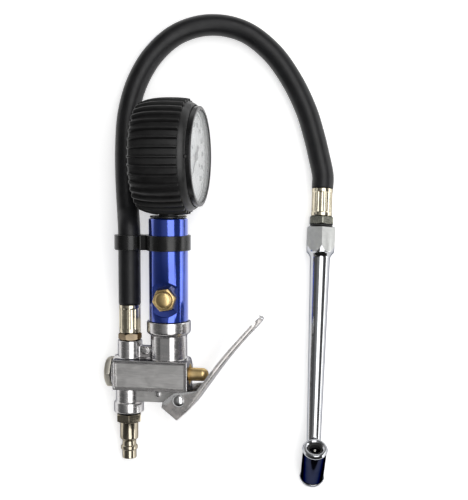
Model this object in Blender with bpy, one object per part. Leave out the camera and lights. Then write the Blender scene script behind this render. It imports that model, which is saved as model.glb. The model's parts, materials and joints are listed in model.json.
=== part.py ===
"""Tyre inflator with a dial gauge, a trigger lever, a hose and a twin-ended chuck.

The inflator lies on its back on a table. Its own frame (inflator_frame) has X along the valve
barrel towards the lever, Y up the handle towards the gauge and Z out of the name-plate recess.
The chuck has a frame of its own, with Z from its hexagon to its head. All lengths are in metres.
"""
import math

import bmesh
import bpy
from mathutils import Matrix, Vector
from mathutils.geometry import convex_hull_2d, interpolate_bezier

# ---------------------------------------------------------------- clearances
SEAT_GAP = 0.0003            # between pieces that sit on each other
SLIDING_GAP = 0.00015        # all round a piece that turns or slides in a hole

# ---------------------------------------------------------------- handle
HANDLE_DIAMETER = 0.0270
HANDLE_BORE = 0.0140
HANDLE_LENGTH = 0.0699       # from the collar to the top
HANDLE_EDGE = 0.0010         # rounding of the top edge
SPIGOT_DIAMETER = 0.0208     # foot of the handle, inside the collar
SPIGOT_LENGTH = 0.0109
HANDLE_SEAL_HEIGHT = 0.0012
TOP_BORE = 0.0204            # counterbore for the gauge adaptor
TOP_BORE_DEPTH = 0.0120

# ---------------------------------------------------------------- valve body
BARREL_DIAMETER = 0.0240
BARREL_LEFT = 0.0380         # from the handle axis to the plugged end
BARREL_RIGHT = 0.0142        # from the handle axis to the plunger end
NECK_DIAMETER = 0.0250
COLLAR_DIAMETER = 0.0300
COLLAR_HEIGHT = 0.0090
COLLAR_CHAMFER = 0.0016
COLLAR_TOP = 0.0364          # above the barrel axis
NECK_FLAT_WIDTH = 0.0068
PLATE_WIDTH = 0.0520
PLATE_HEIGHT = 0.0206
PLATE_FRONT = 0.0130         # in front of the barrel axis
PLATE_SHIFT = 0.0107         # to the left of the handle axis
PLATE_RIM = 0.0013
PLATE_RECESS = 0.0016
PLATE_SLOPE = 0.0008
PLATE_EDGE = 0.0004
HOSE_OFFSET = 0.0275         # hose axis, to the left of the handle axis
INLET_OFFSET = 0.0287        # inlet axis, to the left of the handle axis
HOSE_BOSS_DIAMETER = 0.0168
HOSE_BOSS_TOP = 0.0225
INLET_BOSS_DIAMETER = 0.0178
INLET_BOSS_END = 0.0274      # below the barrel axis
INLET_RING_DIAMETER = 0.0206
INLET_RING_HEIGHT = 0.0068
WEB_TOP = 0.0186
WEB_THICKNESS = 0.0080
WEB_KNOB_DIAMETER = 0.0044
WEB_KNOB_PROUD = 0.0012
LUG_THICKNESS = 0.0180
LUG_DEPTH = 0.0186           # below the barrel axis
LUG_MARK_DIAMETER = 0.0034
LUG_MARK_PROUD = 0.0007
LUG_MARK_X = -0.0058
LUG_MARK_Y = -0.0131
CHAMBER_DIAMETER = 0.0132    # poppet chamber
PLUG_BORE = 0.0164
PLUG_THREAD = 0.0050
SEAT_WALL = 0.0040           # wall that the poppet closes
SEAT_FACE = 0.0160           # to the left of the handle axis
SEAT_HOLE = 0.0060
OUTLET_CHAMBER = 0.0116
GLAND_BORE = 0.0154
GLAND_DEPTH = 0.0087
AIR_PASSAGE = 0.0070
CROSS_PASSAGE = 0.0040
CROSS_PASSAGE_HEIGHT = 0.0135
INLET_PASSAGE = 0.0080
INLET_THREAD = 0.0136
INLET_THREAD_DEPTH = 0.0114
HOSE_THREAD = 0.0106
HOSE_THREAD_DEPTH = 0.0120

# ---------------------------------------------------------------- inlet valve
PLUG_FLATS = 0.0190
PLUG_HEAD = 0.0044
PLUG_CHAMFER = 0.0010
PLUG_SPRING_BORE = 0.0090
PLUG_SPRING_DEPTH = 0.0080
WASHER_HEIGHT = 0.0008
PLUNGER_DIAMETER = 0.0090
PLUNGER_STEM = 0.0032
PLUNGER_BODY_START = -0.0040
PLUNGER_COLLAR = 0.0106
PLUNGER_COLLAR_LENGTH = 0.0020
GLAND_RECESS = 0.0126
GLAND_SEAL_HEIGHT = 0.0018
POPPET_DIAMETER = 0.0104
POPPET_THICKNESS = 0.0024
POPPET_NOSE = 0.0036
POPPET_TAIL = 0.0040
POPPET_TAIL_LENGTH = 0.0060
POPPET_SEAL_HEIGHT = 0.0014
VALVE_SPRING_WIRE = 0.0009
VALVE_SPRING_DIAMETER = 0.0070
VALVE_SPRING_TURNS = 7

# ---------------------------------------------------------------- lever
PIVOT_X = 0.0101
PIVOT_Y = -0.0155
PIN_DIAMETER = 0.0046
PIN_HEAD_DIAMETER = 0.0084
PIN_HEAD_HEIGHT = 0.0022
PIVOT_BOSS_DIAMETER = 0.0112
CHEEK_INSIDE = 0.0134        # half the gap between the cheeks
CHEEK_THICKNESS = 0.0018
LEVER_SHEET = 0.0032
LEVER_TIP_HALF_WIDTH = 0.0115
# outer face of the arm in side view, from the handle and barrel axes
ARM_HEEL = (0.0087, -0.0293)
ARM_LOWER_BEND = (0.0175, -0.0216)
ARM_UPPER_BEND = (0.0413, 0.0117)
ARM_TIP = (0.0654, 0.0393)
# free corners of each cheek
CHEEK_TOP = (0.0066, -0.0106)
CHEEK_SHOULDER = (-0.0010, -0.0170)
CHEEK_CORNER = (-0.0018, -0.0204)
GRIP_RIDGES = 6
GRIP_PITCH = 0.0018
GRIP_HEIGHT = 0.0005

# ---------------------------------------------------------------- inlet nipple
NIPPLE_FLATS = 0.0162
NIPPLE_HEX = 0.0058
NIPPLE_BORE = 0.0072
NIPPLE_SHANK = 0.0126
NIPPLE_SHANK_LENGTH = 0.0123
NIPPLE_GROOVE = 0.0095
NIPPLE_GROOVE_LENGTH = 0.0045
NIPPLE_RIDGE = 0.0117
NIPPLE_RIDGE_LENGTH = 0.0024
NIPPLE_TIP = 0.0099
NIPPLE_TIP_LENGTH = 0.0064
NIPPLE_CHAMFER = 0.0006

# ---------------------------------------------------------------- air release valve
RELEASE_HEIGHT = 0.0522      # above the barrel axis
SPOT_FACE_DIAMETER = 0.0240
SPOT_FACE_DEPTH = 0.0031
RELEASE_FLATS = 0.0140
RELEASE_TURN = 70.0          # of its corner from the barrel's direction, as it was tightened
RELEASE_HEX = 0.0041
RELEASE_THREAD = 0.0098
RELEASE_THREAD_LENGTH = 0.0030
RELEASE_RECESS = 0.0122
RELEASE_FLOOR = 0.0013
BUTTON_DIAMETER = 0.0116
BUTTON_STEM = 0.0028
BUTTON_DOME = 0.0021
BUTTON_WALL = 0.0012
BUTTON_SKIRT = 0.0019
BUTTON_TRAVEL = 0.0012
BUTTON_LIFT = 0.0017         # of the skirt above the floor of the recess
RELEASE_SEAL_DIAMETER = 0.0056
RELEASE_SEAL_HEIGHT = 0.0010
RETAINER_DIAMETER = 0.0048
RETAINER_HEIGHT = 0.0010
RELEASE_SPRING_DIAMETER = 0.0064
RELEASE_SPRING_WIRE = 0.0006
RELEASE_SPRING_TURNS = 3

# ---------------------------------------------------------------- gauge
ADAPTOR_FLANGE = 0.0250
ADAPTOR_FLANGE_HEIGHT = 0.0012
ADAPTOR_THREAD = 0.0136
ADAPTOR_THREAD_DEPTH = 0.0100
ADAPTOR_PASSAGE = 0.0070
STEM_DIAMETER = 0.0130
STEM_BORE = 0.0040
CASE_DIAMETER = 0.0650
CASE_WALL = 0.0009
CASE_BACK = -0.0150          # along the gauge axis, from the handle axis
BEZEL_WALL = 0.0008
BEZEL_DIAMETER = CASE_DIAMETER + 2 * (SEAT_GAP + BEZEL_WALL)
BEZEL_BACK = 0.0175
BEZEL_FRONT = 0.0229
BEZEL_LIP = 0.0005
BEZEL_LIP_WIDTH = 0.0024
BEZEL_OPENING = BEZEL_DIAMETER - 2 * BEZEL_LIP_WIDTH
LENS_THICKNESS = 0.0014
GASKET_HEIGHT = 0.0007
GASKET_WIDTH = 0.0014
# the case's rim, under the lens and its gasket
CASE_RIM = BEZEL_FRONT - BEZEL_LIP - LENS_THICKNESS - GASKET_HEIGHT - 3 * SEAT_GAP
DIAL_CLEARANCE = 0.0005      # all round the dial, inside the case
DIAL_DIAMETER = CASE_DIAMETER - 2 * (CASE_WALL + DIAL_CLEARANCE)
DIAL_THICKNESS = 0.0007
DIAL_FACE = 0.0189
BOOT_FRONT = 0.0196
BOOT_BACK = -0.0213
BOOT_LIP_WALL = 0.0007       # over the bezel
BOOT_LIP_DIAMETER = BEZEL_DIAMETER + 2 * (SEAT_GAP + BOOT_LIP_WALL)
BOOT_LIP_STEP = 0.0172
BOOT_RIBS = 38
BOOT_RIB_SHARE = 0.34        # of the rib pitch
BOOT_GROOVE = 0.0011
# the boot's rubber over the case, as place along the gauge axis and depth over the ribs
BOOT_DEPTHS = ((-0.0203, 0.0027), (-0.0140, 0.0054), (-0.0040, 0.0069), (0.0060, 0.0069),
               (0.0146, 0.0062))
BOOT_SHOULDER_DEPTH = 0.0055
BOOT_BACK_DEPTH = 0.0005
# its outer profile, as place along the gauge axis and radius over the ribs
BOOT_PROFILE = tuple((place_z, CASE_DIAMETER / 2 + depth) for place_z, depth in BOOT_DEPTHS)
BOOT_SHOULDER = (0.0152, CASE_DIAMETER / 2 + BOOT_SHOULDER_DEPTH)
BOOT_BACK_RADIUS = CASE_DIAMETER / 2 + BOOT_BACK_DEPTH
GAUGE_CLEARANCE = 0.0003     # between the boot's ribs and the adaptor's flange
# gauge axis above the barrel axis, over the handle, the flange and the boot's widest rib
GAUGE_HEIGHT = (COLLAR_TOP + SEAT_GAP + HANDLE_LENGTH + SEAT_GAP + ADAPTOR_FLANGE_HEIGHT
                + GAUGE_CLEARANCE + max(radius for place_z, radius in BOOT_PROFILE))
BLOCK_WIDTH = 0.0120
BLOCK_DEPTH = 0.0100
BLOCK_LOW = -0.0300          # from the gauge axis
BLOCK_TOP = -0.0140
BOURDON_RADIUS = 0.0230
BOURDON_WIDTH = 0.0070
BOURDON_THICKNESS = 0.0022
BOURDON_END = 275.0          # degrees round from the block
MODULE = 0.0004
PINION_TEETH = 10
SECTOR_RATIO = 8             # pitch circle of the sector over that of the pinion
SECTOR_SWEEP = 33.75         # degrees for the pointer's whole scale
GEAR_THICKNESS = 0.0014
TOOTH_SHARE = 0.32           # tooth width on the pitch circle over the pitch
ARBOR_DIAMETER = 0.0016
PIVOT_ANGLE = 230.0          # of the sector's pivot round the gauge axis, from the handle's top
TAIL_LENGTH = 0.0070
TAIL_TURN = 162.0            # of the sector's tail from its middle tooth, in degrees
PLATE_METAL = 0.0008
BACK_PLATE = 0.0053
PLATE_SPACING = 0.0062
SECTOR_LEVEL = 0.0085
LINK_LEVEL = 0.0070
LINK_THICKNESS = 0.0008
LINK_EYE = 0.0036
LINK_PIN = 0.0012
HAIRSPRING_LEVEL = 0.0108
HAIRSPRING_TURNS = 4
HAIRSPRING_INNER = 0.0016
HAIRSPRING_OUTER = 0.0050
HAIRSPRING_WIRE = 0.0003
POINTER_LENGTH = 0.0235
POINTER_TAIL = 0.0090
POINTER_THICKNESS = 0.0005
POINTER_HUB = 0.0052
POINTER_GAP = 0.0004         # above the dial
POINTER_START = 135.0        # of the pointer from the handle's top, against its turning
DIAL_POST = 0.0028
DIAL_POST_REACH = 0.0120
SCREW_SHANK = 0.0012
SCREW_HEAD = 0.0026
SCREW_HEAD_HEIGHT = 0.0006

# ---------------------------------------------------------------- hose and its ends
HOSE_DIAMETER = 0.0152
HOSE_BEND_START = 0.0980     # height where the hose leaves its straight run past the clip
FERRULE_DIAMETER = 0.0146
FERRULE_LENGTH = 0.0192
FERRULE_FLUTES = 8
FERRULE_FLUTE_DEPTH = 0.0005
BARB_DIAMETER = 0.0076
FITTING_BORE = 0.0044
FITTING_THREAD = 0.0100
BODY_FITTING_FLATS = 0.0140
BODY_FITTING_HEX = 0.0047
CHUCK_FITTING_FLATS = 0.0160
CHUCK_FITTING_HEX = 0.0056
CLIP_HEIGHT = 0.0898
CLIP_WIDTH = 0.0103
CLIP_HANDLE_BAND = 0.0014
CLIP_HOSE_BAND = 0.0023
CLIP_WEB = 0.0100

# ---------------------------------------------------------------- chuck
CHUCK_FLATS = 0.0190
CHUCK_CORNER_END = 0.0134
CHUCK_FLAT_END = 0.0178
CHUCK_CONE_END = 0.0212
PIPE_START_DIAMETER = 0.0138
PIPE_END_DIAMETER = 0.0096
PIPE_BORE = 0.0040
CHUCK_THREAD_BORE = 0.0106
CHUCK_THREAD_DEPTH = 0.0110
CHUCK_WASHER_DIAMETER = 0.0160
CHUCK_WASHER_HEIGHT = 0.0010
CHUCK_REACH = 0.1662         # from the hexagon's end to the head's axis
HEAD_ANGLE = 42.5            # between the pipe and the head
HEAD_DIAMETER = 0.0162
HEAD_LENGTH = 0.0325         # over both rings
HEAD_JOINT = 0.0050          # from the pipe's axis up to the head's middle
HEAD_CHAMBER = 0.0088
HEAD_SPIGOT = 0.0134
PIPE_SPIGOT = 0.0086
PIPE_SPIGOT_END = 0.0117     # from where the axes meet
RING_DIAMETER = 0.0172
RING_LENGTH = 0.0030
RING_FRONT = 0.0009
RING_MOUTH = 0.0104
RING_CHAMFER = 0.0008
CHUCK_SEAL_DIAMETER = 0.0106
CHUCK_SEAL_HOLE = 0.0078
CHUCK_SEAL_HEIGHT = 0.0040
CHUCK_SEAT_WALL = 0.00285
CHUCK_SEAT_HOLE = 0.0038
# half the chamber, which ends at the seat in the lower bore
CHAMBER_HALF = (HEAD_LENGTH / 2 - RING_FRONT - CHUCK_SEAL_HEIGHT - CHUCK_SEAT_WALL
                - 3 * SEAT_GAP)
CHUCK_PIN_DIAMETER = 0.0026
CHUCK_PIN_REACH = 0.0132     # from its middle to each tip
CHUCK_PIN_DISC = 0.0068
CHUCK_PIN_DISC_HEIGHT = 0.0024
PIN_SPRING_WIRE = 0.0006
PIN_SPRING_DIAMETER = 0.0052
PIN_SPRING_TURNS = 4

# ---------------------------------------------------------------- how it lies on the table
ROLL = 10.5                  # degrees, gauge face turned up
INFLATOR_PLACE = (-0.0349, -0.0535)
CHUCK_PLACE = (0.0703, 0.0475)
CHUCK_YAW = -2.3
# middle part of the hose's route, chosen by eye: X, Y and height above the table
HOSE_ROUTE = (
    (-0.0634, 0.0580, 0.0215),
    (-0.0653, 0.0820, 0.0165),
    (-0.0660, 0.1050, 0.0125),
    (-0.0647, 0.1280, 0.0095),
    (-0.0585, 0.1510, 0.0079),
    (-0.0465, 0.1710, 0.0078),
    (-0.0290, 0.1855, 0.0078),
    (-0.0065, 0.1912, 0.0078),
    (0.0165, 0.1865, 0.0078),
    (0.0357, 0.1720, 0.0078),
    (0.0495, 0.1530, 0.0078),
    (0.0601, 0.1310, 0.0082),
    (0.0658, 0.1120, 0.0089),
    (0.0693, 0.0965, 0.0098),
)

# ---------------------------------------------------------------- facets
FINE = 36
ROUND = 24
SMALL = 14
TINY = 8

# ---------------------------------------------------------------- finishes
# colour, metallic, roughness and, for the lens, alpha
FINISHES = {
    "cast": ((0.62, 0.63, 0.64), 1.0, 0.30),
    "chrome": ((0.80, 0.81, 0.83), 1.0, 0.10),
    "steel": ((0.58, 0.58, 0.57), 1.0, 0.30),
    "brass": ((0.78, 0.56, 0.22), 1.0, 0.25),
    "nickel": ((0.78, 0.73, 0.62), 1.0, 0.20),
    "ferrule": ((0.80, 0.72, 0.54), 1.0, 0.25),
    "spring": ((0.50, 0.50, 0.50), 1.0, 0.35),
    "blue": ((0.01, 0.02, 0.50), 0.9, 0.18),
    "black_metal": ((0.02, 0.02, 0.02), 0.4, 0.25),
    "black_paint": ((0.02, 0.02, 0.02), 0.0, 0.45),
    "rubber": ((0.018, 0.018, 0.018), 0.0, 0.60),
    "hose": ((0.015, 0.015, 0.016), 0.0, 0.50),
    "plastic": ((0.02, 0.02, 0.02), 0.0, 0.35),
    "seal": ((0.02, 0.02, 0.02), 0.0, 0.70),
    "white": ((0.86, 0.87, 0.88), 0.0, 0.40),
    "clear": ((0.90, 0.92, 0.92), 0.0, 0.05, 0.25),
}


# ================================================================ building tools
def clear_scene():
    for thing in list(bpy.data.objects):
        bpy.data.objects.remove(thing, do_unlink=True)


def make_material(name, colour, metallic, roughness, alpha=1.0):
    material = bpy.data.materials.new(name)
    material.use_nodes = True
    shader = material.node_tree.nodes["Principled BSDF"]
    shader.inputs["Base Color"].default_value = (*colour, 1.0)
    shader.inputs["Metallic"].default_value = metallic
    shader.inputs["Roughness"].default_value = roughness
    shader.inputs["Alpha"].default_value = alpha
    material.diffuse_color = (*colour, alpha)
    return material


def empty(name, parent=None, location=(0, 0, 0), rotation=(0, 0, 0)):
    frame = bpy.data.objects.new(name, None)
    frame.parent = parent
    frame.location = location
    frame.rotation_euler = rotation
    bpy.context.collection.objects.link(frame)
    return frame


TURNS = {
    "Z": (0, 0, 0),
    "-Z": (math.pi, 0, 0),
    "X": (0, math.pi / 2, 0),
    "-X": (0, -math.pi / 2, 0),
    "Y": (-math.pi / 2, 0, 0),
    "-Y": (math.pi / 2, 0, 0),
}


def place(thing, parent, location=(0, 0, 0), along="Z"):
    """Put a piece in its frame, with its own Z along the named axis of that frame."""
    thing.parent = parent
    thing.location = location
    thing.rotation_euler = TURNS[along]
    return thing


def new_object(name, mesh_data, finish=None):
    """A piece gets a material of its own in its finish; a guide shape has none."""
    if finish:
        mesh_data.materials.append(make_material(name, *finish))
    thing = bpy.data.objects.new(name, mesh_data)
    bpy.context.collection.objects.link(thing)
    return thing


def from_bmesh(name, shape, finish=None):
    bmesh.ops.recalc_face_normals(shape, faces=shape.faces)
    mesh = bpy.data.meshes.new(name)
    shape.to_mesh(mesh)
    shape.free()
    mesh.shade_smooth()
    mesh.set_sharp_from_angle(angle=math.radians(35))
    return new_object(name, mesh, finish)


def skin(shape, rings, closed):
    """Quads between rings of equal length; closed joins the last ring to the first."""
    pairs = list(zip(rings, rings[1:]))
    if closed:
        pairs.append((rings[-1], rings[0]))
    for lower, upper in pairs:
        count = len(lower)
        for i in range(count):
            j = (i + 1) % count
            shape.faces.new((lower[i], lower[j], upper[j], upper[i]))


def turned(name, profile, segments=ROUND, finish=None):
    """Solid of revolution about Z. A profile of (radius, height) points that starts and ends
    on the axis makes a solid; one that never meets it is a closed loop and makes a ring."""
    shape = bmesh.new()
    solid = profile[0][0] == 0
    inner = profile[1:-1] if solid else profile
    rings = []
    for radius, height in inner:
        ring = []
        for i in range(segments):
            angle = 2 * math.pi * i / segments
            spot = (radius * math.cos(angle), radius * math.sin(angle), height)
            ring.append(shape.verts.new(spot))
        rings.append(ring)
    skin(shape, rings, closed=not solid)
    if solid:
        shape.faces.new(rings[0])
        shape.faces.new(rings[-1])
    return from_bmesh(name, shape, finish)


def rod(diameter, low, high):
    """Profile of a plain cylinder."""
    return [(0, low), (diameter / 2, low), (diameter / 2, high), (0, high)]


def ring_profile(inner, outer, low, high):
    """Profile of a plain washer, from its two diameters."""
    return [(inner / 2, low), (outer / 2, low), (outer / 2, high), (inner / 2, high)]


def prism(name, outline, low, high, finish=None):
    """An outline in XY given a thickness along Z."""
    shape = bmesh.new()
    bottom = [shape.verts.new((x, y, low)) for x, y in outline]
    top = [shape.verts.new((x, y, high)) for x, y in outline]
    skin(shape, [bottom, top], closed=False)
    shape.faces.new(bottom)
    shape.faces.new(top)
    return from_bmesh(name, shape, finish)


def arc(centre, radius, start, end, steps):
    """Points on an arc, from start to end in degrees."""
    points = []
    for i in range(steps + 1):
        angle = math.radians(start + (end - start) * i / steps)
        points.append((centre[0] + radius * math.cos(angle), centre[1] + radius * math.sin(angle)))
    return points


def hexagon(flats, corner_angle=90.0):
    """Outline of a hexagon with one corner at the given angle."""
    return arc((0, 0), flats / math.sqrt(3), corner_angle, corner_angle + 300.0, 5)


def hull_of_circles(circles, steps=SMALL):
    """Outline round a set of (centre, radius) circles."""
    points = []
    for centre, radius in circles:
        points += arc(centre, radius, 0.0, 360.0 * (steps - 1) / steps, steps - 1)
    return [points[i] for i in convex_hull_2d(points)]


def combine(target, tool, operation):
    """Add, cut or keep the shared part of a tool shape, which is then only a guide."""
    step = target.modifiers.new(operation.lower(), "BOOLEAN")
    step.operation = operation
    step.object = tool
    tool.hide_render = True
    tool.hide_set(True)
    tool.display_type = "WIRE"
    return target


def add(target, tool):
    return combine(target, tool, "UNION")


def cut(target, tool):
    return combine(target, tool, "DIFFERENCE")


def path_tube(name, points, diameter, sides_step, finish):
    """A tube along a list of points, with closed ends."""
    curve = bpy.data.curves.new(name, "CURVE")
    curve.dimensions = "3D"
    curve.bevel_depth = diameter / 2
    curve.bevel_resolution = sides_step
    curve.use_fill_caps = True
    spline = curve.splines.new("POLY")
    spline.points.add(len(points) - 1)
    for spot, point in zip(spline.points, points):
        spot.co = (*point, 1.0)
    return new_object(name, curve, finish)


def coil_points(diameter, low, high, turns, steps=12):
    """Points along a helix about Z."""
    points = []
    count = turns * steps
    for i in range(count + 1):
        angle = 2 * math.pi * i / steps
        height = low + (high - low) * i / count
        points.append((diameter / 2 * math.cos(angle), diameter / 2 * math.sin(angle), height))
    return points


def spring(name, diameter, wire, low, high, turns, finish):
    """A coil spring whose ends lie between the two heights."""
    points = coil_points(diameter, low + wire / 2, high - wire / 2, turns)
    return path_tube(name, points, wire, 0, finish)


# ================================================================ how it lies
def lowest_of_disc(centre, axis, radius, turn):
    """Height of the lowest point of a disc once it is turned."""
    up_part = (turn @ axis).z
    return (turn @ centre).z - radius * math.sqrt(max(0.0, 1.0 - up_part * up_part))


def resting_pose():
    """Tilt, and height of the frame, that lay the gauge's boot and the plugged end of the
    barrel or the nipple on the table together."""
    along_x = Vector((1, 0, 0))
    along_y = Vector((0, 1, 0))
    boot = [(Vector((x, GAUGE_HEIGHT, 0)), along_x, radius) for x, radius in BOOT_PROFILE]
    boot.append((Vector((BOOT_BACK, GAUGE_HEIGHT, 0)), along_x, BOOT_BACK_RADIUS))
    plug_end = -(BARREL_LEFT + SEAT_GAP * 2 + WASHER_HEIGHT + PLUG_HEAD)
    nipple_ridge = -(INLET_BOSS_END + SEAT_GAP * 2 + WASHER_HEIGHT + NIPPLE_HEX
                     + NIPPLE_SHANK_LENGTH + NIPPLE_GROOVE_LENGTH + NIPPLE_RIDGE_LENGTH)
    nipple_hex = -(INLET_BOSS_END + SEAT_GAP * 2 + WASHER_HEIGHT + NIPPLE_HEX)
    foot = [
        (Vector((-INLET_OFFSET, nipple_hex, 0)), along_y, NIPPLE_FLATS / math.sqrt(3)),
        (Vector((plug_end, 0, 0)), along_x, PLUG_FLATS / math.sqrt(3) - PLUG_CHAMFER),
        (Vector((-BARREL_LEFT, 0, 0)), along_x, BARREL_DIAMETER / 2),
        (Vector((-INLET_OFFSET, -INLET_BOSS_END, 0)), along_y, INLET_RING_DIAMETER / 2),
        (Vector((-INLET_OFFSET, nipple_ridge, 0)), along_y, NIPPLE_RIDGE / 2),
        (Vector((-INLET_OFFSET, nipple_ridge - NIPPLE_TIP_LENGTH + NIPPLE_CHAMFER / 2, 0)), along_y,
         NIPPLE_TIP / 2),
        (Vector((*ARM_HEEL, 0)), Vector((1, 0, 0)), CHEEK_INSIDE + CHEEK_THICKNESS),
    ]
    roll = Matrix.Rotation(math.radians(-ROLL), 3, "Y")
    low, high = 0.0, math.radians(30.0)
    for _ in range(40):
        tilt = (low + high) / 2
        turn = Matrix.Rotation(tilt, 3, "X") @ roll
        boot_low = min(lowest_of_disc(*disc, turn) for disc in boot)
        foot_low = min(lowest_of_disc(*disc, turn) for disc in foot)
        if boot_low < foot_low:
            low = tilt
        else:
            high = tilt
    return tilt, -min(boot_low, foot_low)


def chuck_rise():
    """Climb of the pipe, and height of its axis at the hexagon, when the hexagon's lower corner
    and the lower ring of the head lie on the table."""
    corner = CHUCK_FLATS / math.sqrt(3)
    rise = 0.0
    for _ in range(20):
        head_tilt = math.radians(HEAD_ANGLE) - rise
        middle = (HEAD_LENGTH * math.sin(head_tilt) + RING_DIAMETER * math.cos(head_tilt)) / 2
        joint = middle - HEAD_JOINT * math.sin(head_tilt)
        rise = math.asin((joint - corner * math.cos(rise)) / CHUCK_REACH)
    return rise, corner * math.cos(rise)


# ================================================================ valve body end
def build_valve_body(frame, finish):
    barrel = turned("valve_body", rod(BARREL_DIAMETER, -BARREL_LEFT, BARREL_RIGHT), FINE, finish)
    place(barrel, frame, along="X")

    def joined(tool, location=(0, 0, 0), along="Z"):
        add(barrel, place(tool, frame, location, along))

    def bored(tool, location=(0, 0, 0), along="Z"):
        cut(barrel, place(tool, frame, location, along))

    half_width = PLATE_WIDTH / 2
    half_height = PLATE_HEIGHT / 2
    block = prism("body_block", rectangle(half_width, half_height), -PLATE_RIM, PLATE_FRONT)
    edge = block.modifiers.new("edge", "BEVEL")
    edge.width = PLATE_EDGE
    edge.segments = 1
    joined(block, (-PLATE_SHIFT, 0, 0))

    collar_low = COLLAR_TOP - COLLAR_HEIGHT
    collar = turned("body_collar", [
        (0, 0), (NECK_DIAMETER / 2, 0), (NECK_DIAMETER / 2, collar_low),
        (COLLAR_DIAMETER / 2 - COLLAR_CHAMFER, collar_low),
        (COLLAR_DIAMETER / 2, collar_low + COLLAR_CHAMFER),
        (COLLAR_DIAMETER / 2, COLLAR_TOP), (0, COLLAR_TOP)], FINE)
    joined(collar, along="Y")
    joined(turned("body_hose_boss", rod(HOSE_BOSS_DIAMETER, 0, HOSE_BOSS_TOP), ROUND),
           (-HOSE_OFFSET, 0, 0), "Y")
    ring_top = INLET_BOSS_END - INLET_RING_HEIGHT
    inlet = turned("body_inlet_boss", [
        (0, 0), (INLET_BOSS_DIAMETER / 2, 0), (INLET_BOSS_DIAMETER / 2, ring_top - 0.0006),
        (INLET_RING_DIAMETER / 2, ring_top), (INLET_RING_DIAMETER / 2, INLET_BOSS_END),
        (0, INLET_BOSS_END)], ROUND)
    joined(inlet, (-INLET_OFFSET, 0, 0), "-Y")

    web = prism("body_web", [
        (-HOSE_OFFSET + HOSE_BOSS_DIAMETER * 0.3, 0), (-NECK_DIAMETER * 0.3, 0),
        (-NECK_DIAMETER * 0.3, WEB_TOP), (-HOSE_OFFSET + HOSE_BOSS_DIAMETER * 0.3, WEB_TOP)],
        -WEB_THICKNESS / 2, WEB_THICKNESS / 2)
    joined(web)
    web_middle = (HOSE_BOSS_DIAMETER / 2 - HOSE_OFFSET - NECK_DIAMETER / 2) / 2
    joined(turned("body_web_knob", rod(WEB_KNOB_DIAMETER, WEB_THICKNESS / 4,
                                       WEB_THICKNESS / 2 + WEB_KNOB_PROUD), TINY),
           (web_middle, WEB_TOP - WEB_KNOB_DIAMETER * 0.6, 0))

    lug_left = -INLET_OFFSET + INLET_BOSS_DIAMETER * 0.4
    lug_outline = [(lug_left, 0), (lug_left, -LUG_DEPTH),
                   (PIVOT_X - PIVOT_BOSS_DIAMETER * 0.8, -LUG_DEPTH)]
    lug_outline += arc((PIVOT_X, PIVOT_Y), PIVOT_BOSS_DIAMETER * 0.47, 230.0, 360.0, 8)
    lug_outline += [(BARREL_RIGHT - SEAT_GAP, -BARREL_DIAMETER * 0.3),
                    (BARREL_RIGHT - SEAT_GAP, 0)]
    joined(prism("body_lug", lug_outline, -LUG_THICKNESS / 2, LUG_THICKNESS / 2))
    joined(turned("body_pivot_boss", rod(PIVOT_BOSS_DIAMETER, SEAT_GAP - CHEEK_INSIDE,
                                         CHEEK_INSIDE - SEAT_GAP), ROUND), (PIVOT_X, PIVOT_Y, 0))
    joined(turned("body_lug_mark", rod(LUG_MARK_DIAMETER, 0, LUG_THICKNESS / 2 + LUG_MARK_PROUD),
                  TINY), (LUG_MARK_X, LUG_MARK_Y, 0))

    recess = bmesh.new()
    rings = []
    for shrink, depth in ((PLATE_RIM + PLATE_SLOPE, PLATE_FRONT - PLATE_RECESS),
                          (PLATE_RIM, PLATE_FRONT),
                          (PLATE_RIM, PLATE_FRONT + PLATE_RECESS)):
        outline = rectangle(half_width - shrink, half_height - shrink)
        rings.append([recess.verts.new((x, y, depth)) for x, y in outline])
    skin(recess, rings, closed=False)
    recess.faces.new(rings[0])
    recess.faces.new(rings[-1])
    bored(from_bmesh("body_recess", recess), (-PLATE_SHIFT, 0, 0))

    flat_half = NECK_FLAT_WIDTH / 2
    flat_level = math.sqrt((NECK_DIAMETER / 2) ** 2 - flat_half ** 2)
    flat = prism("body_neck_flat", [(-NECK_DIAMETER / 2, PLATE_HEIGHT / 2 + SEAT_GAP),
                                    (NECK_DIAMETER / 2, PLATE_HEIGHT / 2 + SEAT_GAP),
                                    (NECK_DIAMETER / 2, collar_low), (-NECK_DIAMETER / 2, collar_low)],
                 flat_level, NECK_DIAMETER)
    bored(flat)

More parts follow.
